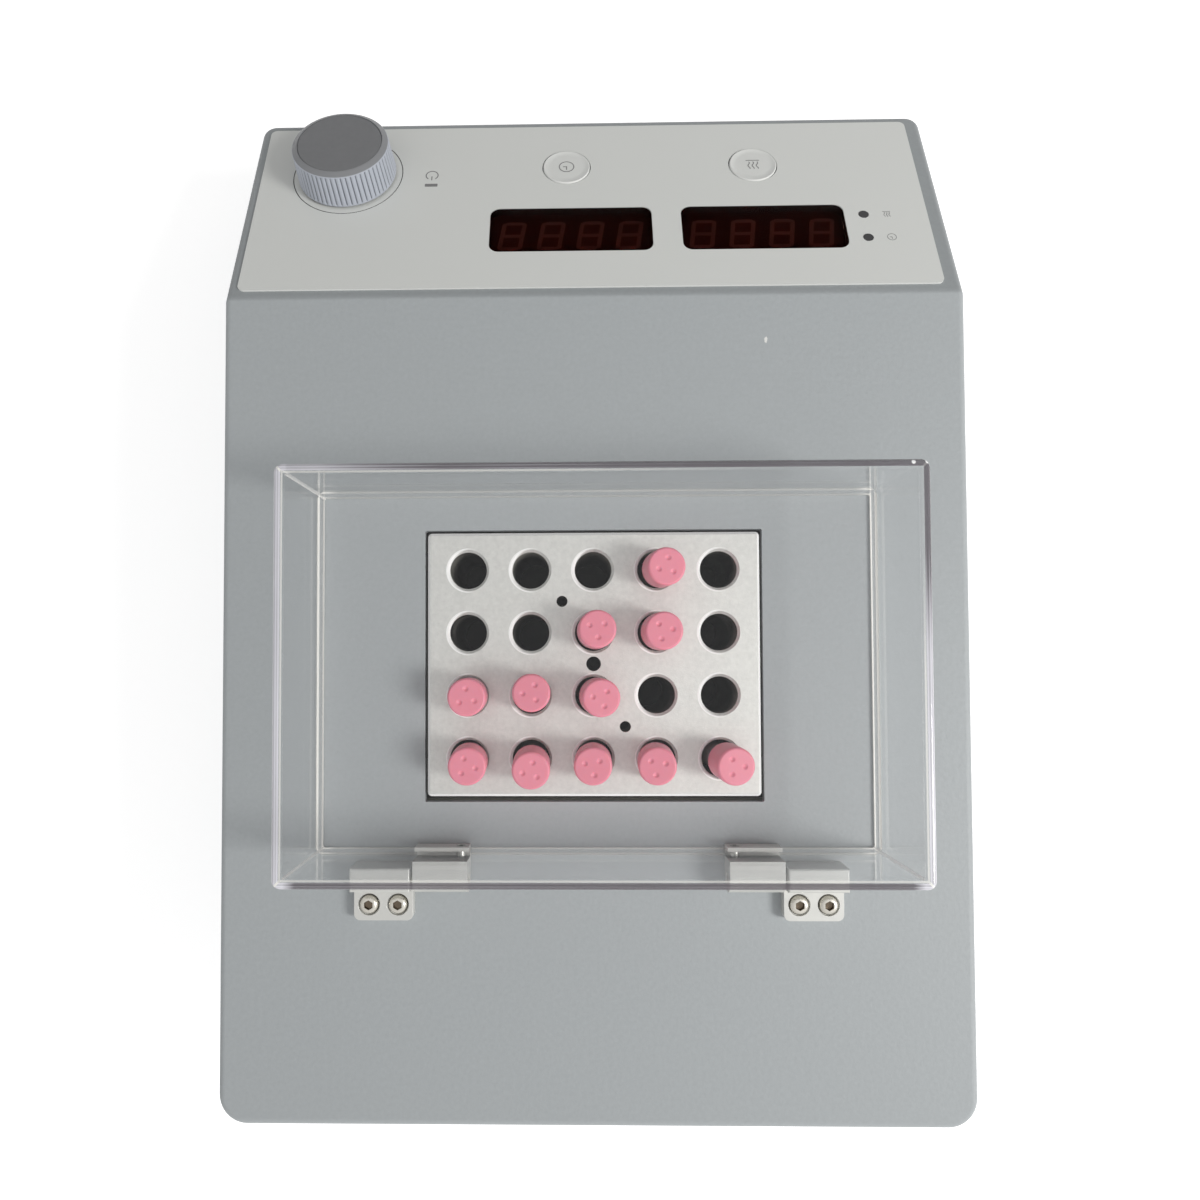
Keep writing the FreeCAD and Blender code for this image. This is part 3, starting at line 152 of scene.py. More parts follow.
def outline(width, length, radius, steps=8):
    """A rounded rectangle as points: four corner circles' quarter arcs, anticlockwise."""
    quarter = np.linspace(0, np.pi / 2, steps + 1)
    angle = (np.arange(4)[:, None] * np.pi / 2 + quarter[None, :]).reshape(-1)
    centre = np.repeat(np.array([(1, 1), (-1, 1), (-1, -1), (1, -1)], float), steps + 1, axis=0)
    centre *= (width / 2 - radius, length / 2 - radius)
    return centre + radius * np.stack([np.cos(angle), np.sin(angle)], -1)


def drum(radius, low, high, segments):
    """A plain round bar or disc."""
    return turned([(0, low), (radius, low), (radius, high), (0, high)], segments)


def slab(width, length, radius, profile):
    """A plate with a rounded-rectangle outline. Each (inset, height) of the profile is the outline
    drawn in by that inset at that height, from the bottom to the top."""
    rings = []
    for inset, height in profile:
        ring = outline(width - 2 * inset, length - 2 * inset, max(radius - inset, 0.05))
        rings.append(np.column_stack([ring, np.full(len(ring), height)]))
    return closed_rings(np.array(rings), (0, 0, profile[0][1]), (0, 0, profile[-1][1]))


def stroke(path, width, low, high, closed=False):
    """A drawn line with a rectangular section: the path is moved sideways by half the width both
    ways, along the normal of the chord between the neighbours of each point."""
    path = np.asarray(path, float)
    if closed:
        along = np.roll(path, -1, 0) - np.roll(path, 1, 0)
    else:
        along = np.gradient(path, axis=0)
    along /= np.linalg.norm(along, axis=1, keepdims=True)
    side = np.stack([-along[:, 1], along[:, 0]], -1) * width / 2
    right, left = path - side, path + side
    corners = ((right, high), (right, low), (left, low), (left, high))
    rings = np.stack([np.column_stack([line, np.full(len(path), z)]) for line, z in corners], 1)
    if closed:
        return closed_rings(rings)
    middle = (low + high) / 2
    return closed_rings(rings, (*path[0], middle), (*path[-1], middle))


def together(*shapes):
    """Several (points, faces) shapes as one."""
    points, faces, first = [], [], 0
    for some_points, some_faces in shapes:
        points.append(some_points)
        faces += [[first + corner for corner in face] for face in some_faces]
        first += len(some_points)
    return np.vstack(points), faces


# Objects

def piece(name, shape, place, material, body, nodes=(), smooth=35):
    """An object in the part's frame from a shape in millimetres in its own frame. It rides on
    the body and stands for the CAD nodes named. Edges up to `smooth` degrees are shaded round."""
    points, faces = shape
    matrix = np.array(place)
    points = points * MM @ matrix[:3, :3].T + matrix[:3, 3]
    mesh = bpy.data.meshes.new(name)
    mesh.from_pydata(points.tolist(), [], faces)
    mesh.materials.append(material)
    mesh.polygons.foreach_set("use_smooth", np.ones(len(mesh.polygons), bool))
    mesh.set_sharp_from_angle(angle=math.radians(smooth))
    mesh.update()
    item = bpy.data.objects.new(name, mesh)
    bpy.context.scene.collection.objects.link(item)
    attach(item, body)
    if nodes:
        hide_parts(*nodes)
    return item


def rounded_copy(node, material, body, width):
    """The CAD node's surface, merged into flat faces, with its sharp edges rounded by a bevel of
    the width given, in millimetres. It stands for the node."""
    flat, sharp, shaded_round = 0.5, 40, 30
    shell = bmesh.new()
    shell.from_mesh(frame["nodes"][node].data)
    bmesh.ops.remove_doubles(shell, verts=shell.verts, dist=1e-6)
    bmesh.ops.dissolve_limit(shell, angle_limit=math.radians(flat), verts=shell.verts,
                             edges=shell.edges)
    mesh = bpy.data.meshes.new(node + "_rounded")
    shell.to_mesh(mesh)
    shell.free()
    mesh.materials.clear()
    mesh.materials.append(material)
    mesh.polygons.foreach_set("use_smooth", np.ones(len(mesh.polygons), bool))
    item = bpy.data.objects.new(node + "_rounded", mesh)
    bpy.context.scene.collection.objects.link(item)
    bevel = item.modifiers.new("edges", "BEVEL")
    bevel.width = width * MM
    bevel.segments = 2
    bevel.limit_method = "ANGLE"
    bevel.angle_limit = math.radians(sharp)
    shading = item.modifiers.new("shading", "WEIGHTED_NORMAL")
    shading.keep_sharp = True
    mesh.set_sharp_from_angle(angle=math.radians(shaded_round))
    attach(item, body)
    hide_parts(node)
    return item


# Material nodes

def joined(tree, value, socket):
    """Feeds the socket with an output, or sets it to a number or a colour."""
    if isinstance(value, (int, float, list, tuple)):
        socket.default_value = value
    else:
        tree.links.new(value, socket)


def worked(tree, operation, first, second=None, clamp=False):
    """A Math node's output. Each input is a number or an output."""
    node = tree.nodes.new("ShaderNodeMath")
    node.operation = operation
    node.use_clamp = clamp
    joined(tree, first, node.inputs[0])
    if second is not None:
        joined(tree, second, node.inputs[1])
    return node.outputs[0]


def times(tree, first, *others):
    """The product of numbers and outputs."""
    for other in others:
        first = worked(tree, "MULTIPLY", first, other)
    return first


def largest(tree, first, *others):
    """The largest of numbers and outputs."""
    for other in others:
        first = worked(tree, "MAXIMUM", first, other)
    return first


def plus(tree, first, second, clamp=False):
    """The sum of two numbers or outputs."""
    return worked(tree, "ADD", first, second, clamp)


def less(tree, first, second):
    """The first number or output less the second."""
    return worked(tree, "SUBTRACT", first, second)


def apart(tree, first, second):
    """How far two numbers or outputs are apart."""
    return worked(tree, "ABSOLUTE", less(tree, first, second))


def distance_from(tree, first, second, first_middle, second_middle):
    """The level distance of a point from a middle, by its two coordinates."""
    a, b = less(tree, first, first_middle), less(tree, second, second_middle)
    return worked(tree, "SQRT", plus(tree, times(tree, a, a), times(tree, b, b)))


def ramp(tree, value, low, high):
    """0 at low and before it, 1 at high and past it, and a straight change between them. The
    value falls where high is the smaller."""
    node = tree.nodes.new("ShaderNodeMapRange")
    node.inputs["From Min"].default_value = low
    node.inputs["From Max"].default_value = high
    tree.links.new(value, node.inputs["Value"])
    return node.outputs["Result"]


def band(tree, value, low, high, soft):
    """1 between low and high, falling to 0 over the width soft beyond them."""
    return times(tree, ramp(tree, value, low - soft, low), ramp(tree, value, high + soft, high))


def noise(tree, vector, scale, detail, rough):
    """A noise texture's value output."""
    node = tree.nodes.new("ShaderNodeTexNoise")
    node.inputs["Scale"].default_value = scale
    node.inputs["Detail"].default_value = detail
    node.inputs["Roughness"].default_value = rough
    tree.links.new(vector, node.inputs["Vector"])
    return node.outputs["Fac"]


def mixed(tree, factor, low, high):
    """A colour between low and high by the factor. Either may be a colour or an output."""
    node = tree.nodes.new("ShaderNodeMix")
    node.data_type = "RGBA"
    tree.links.new(factor, node.inputs["Factor"])
    joined(tree, low, node.inputs[MIX_LOW_COLOUR])
    joined(tree, high, node.inputs[MIX_HIGH_COLOUR])
    return node.outputs[MIX_COLOUR]


def object_place(tree):
    """The object coordinates."""
    return tree.nodes.new("ShaderNodeTexCoord").outputs["Object"]


def split(tree, vector):
    """The x, y and z outputs of a vector."""
    node = tree.nodes.new("ShaderNodeSeparateXYZ")
    tree.links.new(vector, node.inputs["Vector"])
    return node.outputs


def object_axes(tree):
    """The x, y and z outputs of the object coordinates."""
    return split(tree, object_place(tree))


def panel_axes(tree):
    """The x, up-slope and height outputs of a point in the panel's own frame."""
    turn = tree.nodes.new("ShaderNodeMapping")
    turn.vector_type = "TEXTURE"
    turn.inputs["Location"].default_value = PANEL.translation
    turn.inputs["Rotation"].default_value = (math.radians(PANEL_SLOPE), 0, 0)
    tree.links.new(object_place(tree), turn.inputs["Vector"])
    return split(tree, turn.outputs["Vector"])


def shader_of(tree):
    """The material's one shader."""
    return tree.nodes["Principled BSDF"]


def base_colour(tree):
    """The output that feeds the shader's base colour."""
    return shader_of(tree).inputs["Base Color"].links[0].from_socket


def feed(tree, name, value):
    """Feeds one socket of the shader with an output."""
    tree.links.new(value, shader_of(tree).inputs[name])


# Finishes

def finish(name, colour, rough, metal, mottle, grain, stretch=(1, 1, 1), gloss=0.06, **sockets):
    """A finish with slow colour changes (mottle: how many per metre, how strong), a fine relief
    (grain: how many per metre, depth in millimetres, strength) and roughness that wanders by
    gloss. Other sockets of the shader are named with an underscore for each space."""
    material = bpy.data.materials.new(name)
    material.use_nodes = True
    tree = material.node_tree
    shader = shader_of(tree)
    shader.inputs["Metallic"].default_value = metal
    for key, value in sockets.items():
        shader.inputs[key.replace("_", " ")].default_value = value
    scale = tree.nodes.new("ShaderNodeMapping")
    scale.inputs["Scale"].default_value = stretch
    tree.links.new(object_place(tree), scale.inputs["Vector"])
    place = scale.outputs["Vector"]

    how_many, strength = mottle
    dark = [c * (1 - strength) for c in colour] + [1]
    light = [min(c * (1 + strength), 1) for c in colour] + [1]
    feed(tree, "Base Color", mixed(tree, noise(tree, place, how_many, 4.0, 0.6), dark, light))

    fineness, depth, relief_strength = grain
    relief = tree.nodes.new("ShaderNodeBump")
    relief.inputs["Distance"].default_value = depth * MM
    relief.inputs["Strength"].default_value = relief_strength
    tree.links.new(noise(tree, place, fineness, 3.0, 0.55), relief.inputs["Height"])
    feed(tree, "Normal", relief.outputs["Normal"])

    spread = tree.nodes.new("ShaderNodeMapRange")
    spread.inputs["From Min"].default_value = 0.3
    spread.inputs["From Max"].default_value = 0.7
    spread.inputs["To Min"].default_value = max(rough - gloss, 0.0)
    spread.inputs["To Max"].default_value = min(rough + gloss, 1.0)
    tree.links.new(noise(tree, place, how_many * 4, 3.0, 0.5), spread.inputs["Value"])
    feed(tree, "Roughness", spread.outputs["Result"])
    return material


def mouth_highlight_mask(tree, x, y, middle_y, edge):
    """The mask of a painted highlight on the right part of each well's turned mouth, a crescent:
    1 up to MOUTH_EDGE outside the mouth's radius, or where edge is 1, and past the mouth's radius
    from a point that is MOUTH_SHIFT to the left of the well's axis."""
    half_pitch = WELL_PITCH / 2 * MM
    beside_y = worked(tree, "PINGPONG", less(tree, y, middle_y + half_pitch), half_pitch)
    beside_x = worked(tree, "PINGPONG", x, half_pitch)
    shifted_x = worked(tree, "PINGPONG", plus(tree, x, MOUTH_SHIFT * MM), half_pitch)
    crescent = ramp(tree, distance_from(tree, shifted_x, beside_y, 0.0, 0.0),
                    MOUTH_RADIUS * MM, (MOUTH_RADIUS + 0.5) * MM)
    away = distance_from(tree, beside_x, beside_y, 0.0, 0.0)
    mouth = ramp(tree, away, (MOUTH_RADIUS + MOUTH_EDGE) * MM,
                 (MOUTH_RADIUS + MOUTH_EDGE - 0.15) * MM)
    return times(tree, largest(tree, mouth, edge), crescent)


def blasted_block():
    """Fine bead-blasted aluminium, with a painted highlight on the block's chamfer and on the right
    part of each well's turned mouth, and duller down in the bored wells and holes, where painted
    shade darkens it with depth."""
    metal, shine = 0.6, 0.5
    material = finish("blasted_aluminium", (0.66, 0.66, 0.635), 0.5, metal, (800, 0.15),
                      (2600, 0.06, 0.8), gloss=0.05)
    tree = material.node_tree
    x, y, z = object_axes(tree)
    half, middle = (block_high - block_low) / 2, (block_high + block_low) / 2
    from_side = less(tree, half.x, worked(tree, "ABSOLUTE", x))
    from_end = less(tree, half.y, apart(tree, y, middle.y))
    inward = worked(tree, "MINIMUM", from_side, from_end)

    def depth(start, end):
        """0 at the first depth under the block's top and 1 at the second, in millimetres."""
        return ramp(tree, z, block_high.z - start * MM, block_high.z - end * MM)

    inside = ramp(tree, inward, 2 * MM, 3 * MM)
    bored = times(tree, inside, depth(0.72, 0.8))
    # Painted shade: the wells' walls darken with depth
    wall = mixed(tree, depth(1, 16), (0.24, 0.235, 0.21, 1), (0.045, 0.044, 0.039, 1))
    stains = ramp(tree, noise(tree, object_place(tree), 70, 2, 0.5), 0.38, 0.60)
    wall = mixed(tree, stains, (0.012, 0.011, 0.010, 1), wall)

    # Painted highlight: the chamfer and the right part of each well's mouth are coloured near white
    edge = depth(0.02, 0.06)
    rim = times(tree, edge, ramp(tree, inward, (BLOCK_CHAMFER + 0.06) * MM, BLOCK_CHAMFER * MM),
                depth(BLOCK_CHAMFER + 0.04, BLOCK_CHAMFER))
    mouth_highlight = mouth_highlight_mask(tree, x, y, middle.y, times(tree, inside, edge))
    painted_highlight = largest(tree, rim, times(tree, mouth_highlight, ramp(tree, inward, 2 * MM, 2.2 * MM)))
    colour = mixed(tree, painted_highlight, base_colour(tree), (0.95, 0.95, 0.94, 1))
    feed(tree, "Base Color", mixed(tree, bored, colour, wall))
    dull = largest(tree, painted_highlight, bored)
    feed(tree, "Metallic", times(tree, less(tree, 1.0, dull), metal))
    feed(tree, "Specular IOR Level", less(tree, shine, times(tree, bored, 0.35)))
    return material


def from_bracket_screw(tree, x, y):
    """The level distance of a point from the axis of the nearest screw of the hinge brackets."""
    low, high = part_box("hinge_bracket_right")
    lid_middle = (lid_low.x + lid_high.x) / 2
    folded = apart(tree, x, lid_middle)
    folded = apart(tree, folded, (low.x + high.x) / 2 - lid_middle)
    return distance_from(tree, folded, y, BRACKET_SCREW_PITCH / 2 * MM,
                         high.y - BRACKET_SCREW_END * MM)


def painted_recess_shade(material, near, near_edge, level, level_edge, dark):
    """Paints shade into the material near the axis of each bracket screw and below a level over the
    casing's top: painted shade in the sockets and in the gaps round the heads. The dark is full up
    to the first of each pair of lengths, and ends at the second. They are in millimetres."""
    tree = material.node_tree
    x, y, z = object_axes(tree)
    close = ramp(tree, from_bracket_screw(tree, x, y), near_edge * MM, near * MM)
    sunk = ramp(tree, z, TOP + level_edge * MM, TOP + level * MM)
    # Painted shade in the recess
    feed(tree, "Base Color", mixed(tree, times(tree, close, sunk), base_colour(tree), dark))
    return material


def socket_steel():
    """Bright screw steel, with painted shade, dark brown, down in the hexagonal sockets."""
    material = finish("socket_steel", (0.74, 0.71, 0.64), 0.22, 1.0, (300, 0.08),
                      (2500, 0.01, 0.3), gloss=0.08)
    mouth = BRACKET_SEAT + HEAD_HEIGHT
    return painted_recess_shade(material, SOCKET_RADIUS + 0.15, SOCKET_RADIUS + 0.32, mouth - 0.13,
                     mouth - 0.01, (0.17, 0.135, 0.10, 1))


def satin_hinge():
    """Bead-blasted and clear-coated hinge metal, with painted shade in the narrow gap round each
    screw's head.
    """
    material = finish("hinge_satin", (0.625, 0.625, 0.60), 0.40, 0.3, (80, 0.03),
                      (3800, 0.012, 0.3), gloss=0.06)
    return painted_recess_shade(material, HEAD_RADIUS + 0.15, HEAD_RADIUS + 0.25, BRACKET_TOP - 0.1,
                     BRACKET_TOP - 0.03, (0.06, 0.055, 0.045, 1))


def knob_skin():
    """The knob's light plastic, with painted shade in the valleys between its ribs, and a darker
    grey ring round its top."""
    material = finish("knob_grey", (0.42, 0.445, 0.50), 0.45, 0.0, (120, 0.03), (3000, 0.01, 0.2))
    tree = material.node_tree
    across, up_slope, height = panel_axes(tree)
    ring = ramp(tree, height, (KNOB_SHOULDER + 0.05) * MM, (KNOB_SHOULDER + 0.12) * MM)
    taper = -KNOB_TAPER / (KNOB_SHOULDER - KNOB_BOTTOM)
    taper = times(tree, less(tree, height, KNOB_BOTTOM * MM), taper)
    side = plus(tree, taper, KNOB_FOOT_RADIUS * MM)
    middle_x, middle_p = KNOB_PLACE
    away = distance_from(tree, across, up_slope, middle_x * MM, -middle_p * MM)
    sunk = less(tree, side, away)
    # Painted shade in the valleys between the ribs
    painted_groove_shade = times(tree, ramp(tree, sunk, 0.12 * MM, 0.36 * MM),
                   ramp(tree, sunk, 0.8 * MM, 0.6 * MM))
    colour = mixed(tree, painted_groove_shade, base_colour(tree), (0.15, 0.16, 0.18, 1))
    feed(tree, "Base Color", mixed(tree, ring, colour, (0.225, 0.23, 0.24, 1)))
    return material


def textured_paint():
    """Light blue-grey paint with a pebbled relief, with painted shade that darkens it on the slope,
    and chipped to the primer at one small spot."""
    material = finish("pebbled_paint", (0.375, 0.399, 0.411), 0.55, 0.0, (800, 0.08),
                      (750, 0.10, 0.8), gloss=0.05)
    tree = material.node_tree
    x, y, z = object_axes(tree)
    (chip_x, chip_y), (half_x, half_y) = CHIP_PLACE, CHIP_HALF
    across = worked(tree, "DIVIDE", less(tree, x, chip_x * MM), half_x * MM)
    along = worked(tree, "DIVIDE", less(tree, y, chip_y * MM), half_y * MM)
    away = plus(tree, times(tree, across, across), times(tree, along, along))
    ragged = times(tree, noise(tree, object_place(tree), 2200, 2, 0.6), 1.6)
    chip = times(tree, ramp(tree, plus(tree, away, ragged), 1.5, 1.3),
                 ramp(tree, z, TOP - 0.5 * MM, TOP - 0.1 * MM))

    # Painted shade: the paint is a little darker on the slope, which gets less light
    height = panel_axes(tree)[2]
    slope = times(tree, band(tree, height, -0.7 * MM, 0.7 * MM, 0.3 * MM),
                  ramp(tree, y, CREASE + 0.5 * MM, CREASE - 1.5 * MM))
    painted_slope_shade = tree.nodes.new("ShaderNodeVectorMath")
    painted_slope_shade.operation = "SCALE"
    tree.links.new(base_colour(tree), painted_slope_shade.inputs["Vector"])
    tree.links.new(less(tree, 1.0, times(tree, slope, 0.17)), painted_slope_shade.inputs["Scale"])
    colour = mixed(tree, chip, painted_slope_shade.outputs["Vector"], (0.72, 0.72, 0.70, 1))
    feed(tree, "Base Color", colour)
    return material


def rim_light(tree, x, y, middle, inward, sides):
    """How bright the cover's rim is, and how dim its front left part is. The sides are lit, apart
    from the left one's front, and so is the front right corner. Patches and fine lines that run
    along the rim vary it."""
    shaded = times(tree, ramp(tree, y, middle.y - 5 * MM, middle.y - 35 * MM),
                   ramp(tree, x, middle.x - 50 * MM, middle.x - 70 * MM))
    lit = times(tree, sides, less(tree, 1.0, shaded))
    near_corner = times(tree, ramp(tree, y, middle.y, middle.y - 20 * MM),
                        ramp(tree, x, middle.x + 38 * MM, middle.x + 70 * MM))
    lit = largest(tree, lit, times(tree, near_corner, 0.8))
    patches = noise(tree, object_place(tree), 28, 2, 0.5)
    bright = plus(tree, times(tree, lit, 0.80), times(tree, patches, 0.5))
    dim = times(tree, ramp(tree, y, middle.y, middle.y - 30 * MM),
                ramp(tree, x, middle.x + 10 * MM, middle.x - 45 * MM))
    bright = less(tree, less(tree, bright, times(tree, dim, 0.14)), 0.27)
    lines = worked(tree, "SINE", times(tree, inward, 2 * math.pi / (RIM_LINE_PITCH * MM)))
    return plus(tree, bright, times(tree, lines, 0.16), clamp=True), dim


def clear_acrylic():
    """Clear sheet. Its mirror share is a small one plus nine tenths of the fifth power of one
    minus the cosine of the angle of view, and the rest is see-through. Painted on it by its object
    coordinates are a band as wide as the wall round the top, light at the sides and the front right
    corner and dark elsewhere along the front, a pale double line round the foot, lines down the
    corners and two white glints at the front left corner: painted highlight and shade that stand
    for the cover's reflections."""
    material = finish("clear_acrylic", (0.93, 0.94, 0.95), 0.03, 1.0, (30, 0.01),
                      (35, 0.05, 0.10), gloss=0.01)
    tree = material.node_tree
    x, y, z = object_axes(tree)
    half, middle = (lid_high - lid_low) / 2, (lid_high + lid_low) / 2
    from_side = less(tree, half.x, apart(tree, x, middle.x))
    from_end = less(tree, half.y, apart(tree, y, middle.y))
    inward = worked(tree, "MINIMUM", from_side, from_end)
    wall = LID_WALL * MM
    high = ramp(tree, z, lid_high.z - 1.5 * MM, lid_high.z - 1.2 * MM)
    low = ramp(tree, z, lid_low.z + 0.6 * MM, lid_low.z + 0.4 * MM)
    sides = ramp(tree, from_side, 6 * MM, 3 * MM)

    bright, dim = rim_light(tree, x, y, middle, inward, sides)
    clear = less(tree, 1.0, times(tree, dim, 0.85))
    # Painted highlight and shade: the band round the top takes its brightness from rim_light
    rim = times(tree, high, ramp(tree, inward, wall, wall - 0.15 * MM))
    painted_rim_line = band(tree, inward, wall + 0.1 * MM, wall + 0.45 * MM, 0.15 * MM)
    painted_rim_line = times(tree, high, painted_rim_line, clear)
    foot_gap = band(tree, inward, 0.6 * MM, wall - 0.6 * MM, 0.1 * MM)
    painted_foot_line = times(tree, low, less(tree, 1.0, times(tree, foot_gap, 0.7)))
    corner = times(tree, ramp(tree, from_side, 2.8 * MM, 2.4 * MM),
                   ramp(tree, from_end, 2.8 * MM, 2.4 * MM))
    askew = apart(tree, from_side, from_end)
    painted_corner_line = times(tree, corner, ramp(tree, askew, 0.45 * MM, 0.3 * MM), clear)
    # Painted glints: two white spots at the front left corner
    glints = 0.0
    for across, along in ((0.9, 0.8), (4.3, 0.9)):
        away = distance_from(tree, x, y, lid_low.x + across * MM, lid_low.y + along * MM)
        glints = largest(tree, ramp(tree, away, 0.6 * MM, 0.4 * MM), glints)
    glints = times(tree, glints, high)

    # Colours of the painted highlight and shade on the rim band and of the painted lines
    painted_rim_colour = mixed(tree, bright, (0.10, 0.085, 0.10, 1), (0.86, 0.85, 0.92, 1))
    colour = mixed(tree, rim, base_colour(tree), painted_rim_colour)
    lines = largest(tree, painted_rim_line, painted_foot_line, painted_corner_line)
    painted_line_colour = mixed(tree, sides, (0.80, 0.79, 0.75, 1), (0.97, 0.96, 0.92, 1))
    colour = mixed(tree, lines, colour, painted_line_colour)
    feed(tree, "Base Color", mixed(tree, glints, colour, (1, 1, 1, 1)))
    feed(tree, "Metallic", less(tree, 1.0, largest(tree, rim, lines)))

    view = tree.nodes.new("ShaderNodeLayerWeight")
    view.inputs["Blend"].default_value = 0.5
    grazing = worked(tree, "POWER", view.outputs["Facing"], 5.0)
    head_on, rise = 0.018, 0.9
    mirror = plus(tree, times(tree, grazing, rise), head_on)
    foot_share = plus(tree, times(tree, sides, 0.35), 0.55)
    for mask, share in ((rim, 0.84), (painted_rim_line, 0.55), (painted_foot_line, foot_share), (corner, 0.14),
                        (painted_corner_line, 0.5), (glints, 0.95)):
        mirror = largest(tree, mirror, times(tree, mask, share))
    feed(tree, "Alpha", mirror)
    return material


PAINT = textured_paint()
BLOCK_METAL = blasted_block()
KNOB_SKIN = knob_skin()
KNOB_DISC = finish("knob_disc_grey", (0.178, 0.181, 0.188), 0.62, 0.0, (150, 0.04), (4500, 0.015, 0.3))
OVERLAY = finish("overlay_film", (0.72, 0.732, 0.71), 0.45, 0.0, (30, 0.012), (6000, 0.006, 0.25),
                 gloss=0.04)
BUTTON = finish("button_film", (0.73, 0.74, 0.72), 0.42, 0.0, (60, 0.012), (6000, 0.006, 0.25),
                gloss=0.04)
PRINT = finish("grey_print", (0.20, 0.20, 0.20), 0.5, 0.0, (400, 0.06), (6000, 0.004, 0.2))
SMOKED = finish("smoked_window", (0.30, 0.165, 0.145), 0.05, 0.0, (80, 0.05), (900, 0.004, 0.05),
                gloss=0.02, Transmission_Weight=1.0, IOR=1.04)
DISPLAY = finish("display_face", (0.072, 0.024, 0.018), 0.6, 0.0, (200, 0.1), (3000, 0.01, 0.2),
                 Specular_IOR_Level=0.1)
FIGURE = finish("display_figure_ground", (0.115, 0.042, 0.032), 0.6, 0.0, (300, 0.1), (3000, 0.01, 0.2),
                Specular_IOR_Level=0.1)
SEGMENT = finish("display_segment", (0.23, 0.15, 0.14), 0.6, 0.0, (300, 0.1), (3000, 0.01, 0.2),
                 Specular_IOR_Level=0.1)
LAMP = finish("lamp_lens", (0.012, 0.012, 0.014), 0.12, 0.0, (300, 0.2), (2500, 0.004, 0.1), gloss=0.05)
CLEAR = clear_acrylic()
HINGE = satin_hinge()
SCREW_STEEL = socket_steel()
STEEL = finish("screw_steel", (0.62, 0.59, 0.53), 0.22, 1.0, (300, 0.08), (2500, 0.01, 0.3), gloss=0.08)
ZINC = finish("zinc_screw", (0.50, 0.50, 0.47), 0.35, 1.0, (300, 0.08), (2500, 0.01, 0.3))
RUBBER = finish("foot_rubber", (0.022, 0.022, 0.024), 0.75, 0.0, (200, 0.15), (1800, 0.03, 0.4))
BASE = finish("base_metal", (0.20, 0.21, 0.225), 0.45, 0.2, (40, 0.04), (1500, 0.03, 0.3))
PLASTIC = finish("black_plastic", (0.022, 0.022, 0.024), 0.42, 0.0, (150, 0.12), (2200, 0.02, 0.35))
BRASS = finish("contact_brass", (0.70, 0.52, 0.26), 0.25, 1.0, (300, 0.06), (2500, 0.008, 0.3))
BOARD = finish("board_green", (0.015, 0.10, 0.05), 0.4, 0.0, (150, 0.15), (1500, 0.015, 0.3))
FOIL = finish("heater_film", (0.32, 0.07, 0.03), 0.6, 0.0, (120, 0.1), (2000, 0.02, 0.3))
WOOL = finish("insulation_felt", (0.66, 0.62, 0.52), 0.9, 0.0, (200, 0.12), (1400, 0.15, 0.6))
TRAY = finish("tray_black", (0.035, 0.035, 0.036), 0.5, 0.3, (60, 0.06), (2600, 0.01, 0.3),
              stretch=(1, 6, 1))
CORE = finish("laminated_core", (0.09, 0.09, 0.095), 0.5, 0.4, (200, 0.1), (2200, 0.02, 0.4),
              stretch=(1, 4, 1))
LEADS = finish("lead_jacket", (0.16, 0.04, 0.03), 0.5, 0.0, (150, 0.08), (1800, 0.01, 0.3))
RIBBON = finish("ribbon_grey", (0.26, 0.27, 0.28), 0.55, 0.0, (150, 0.05), (1800, 0.01, 0.4),
                stretch=(6, 1, 1))
CAP_PINK = finish("cap_pink", (0.79, 0.26, 0.34), 0.45, 0.0, (400, 0.03), (3500, 0.01, 0.3), gloss=0.05,
                  Subsurface_Weight=0.2, Subsurface_Scale=0.0015)
TUBE = finish("vial_frosted", (0.90, 0.72, 0.74), 0.35, 0.0, (300, 0.04), (2500, 0.01, 0.3),
              Subsurface_Weight=0.3, Subsurface_Scale=0.002, Transmission_Weight=0.35, IOR=1.49)

NODE_FINISHES = {
    PAINT: "upper_casing",
    BASE: "base_plate",
    RUBBER: "rubber_feet",
    ZINC: "base_screws inner_screws heater_screws inlet_screws lid_screws temperature_sensor",
    OVERLAY: "panel_overlay knob_seat",
    SMOKED: "timer_window heat_window",
    DISPLAY: "timer_digits heat_digits",
    LAMP: "indicator_leds",
    BOARD: "control_board power_board",
    STEEL: "bracket_screws hinge_pins encoder_body encoder_nut encoder_shaft",
    PLASTIC: "encoder_plunger tact_switches power_inlet fuse_drawer thermal_cutout",
    KNOB_SKIN: "knob_body",
    KNOB_DISC: "knob_cap",
    BUTTON: "timer_button heat_button",
    TRAY: "block_tray",
    WOOL: "insulation_jacket insulation_pad",
    FOIL: "heating_film",
    BLOCK_METAL: "heating_block heater_plate",
    CLEAR: "lid_cover",
    HINGE: "lid_leaf_right lid_leaf_left hinge_bracket_right hinge_bracket_left",
    CORE: "power_transformer",
    BRASS: "inlet_contacts",
    LEADS: "mains_leads heater_leads",
    RIBBON: "display_ribbon",
    CAP_PINK: " ".join("vial_%02d" % k for k in range(1, len(VIALS) + 1)),
}


def dress_nodes():
    """Gives every CAD node its finish."""
    for material, names in NODE_FINISHES.items():
        for name in names.split():
            mesh = frame["nodes"][name].data
            mesh.materials.clear()
            mesh.materials.append(material)


# The panel's pieces

def on_panel(x, p):
    """The place of a piece on the slope: x to the right, p down from the crease, both in mm."""
    return PANEL @ Matrix.Translation((x * MM, -p * MM, 0))


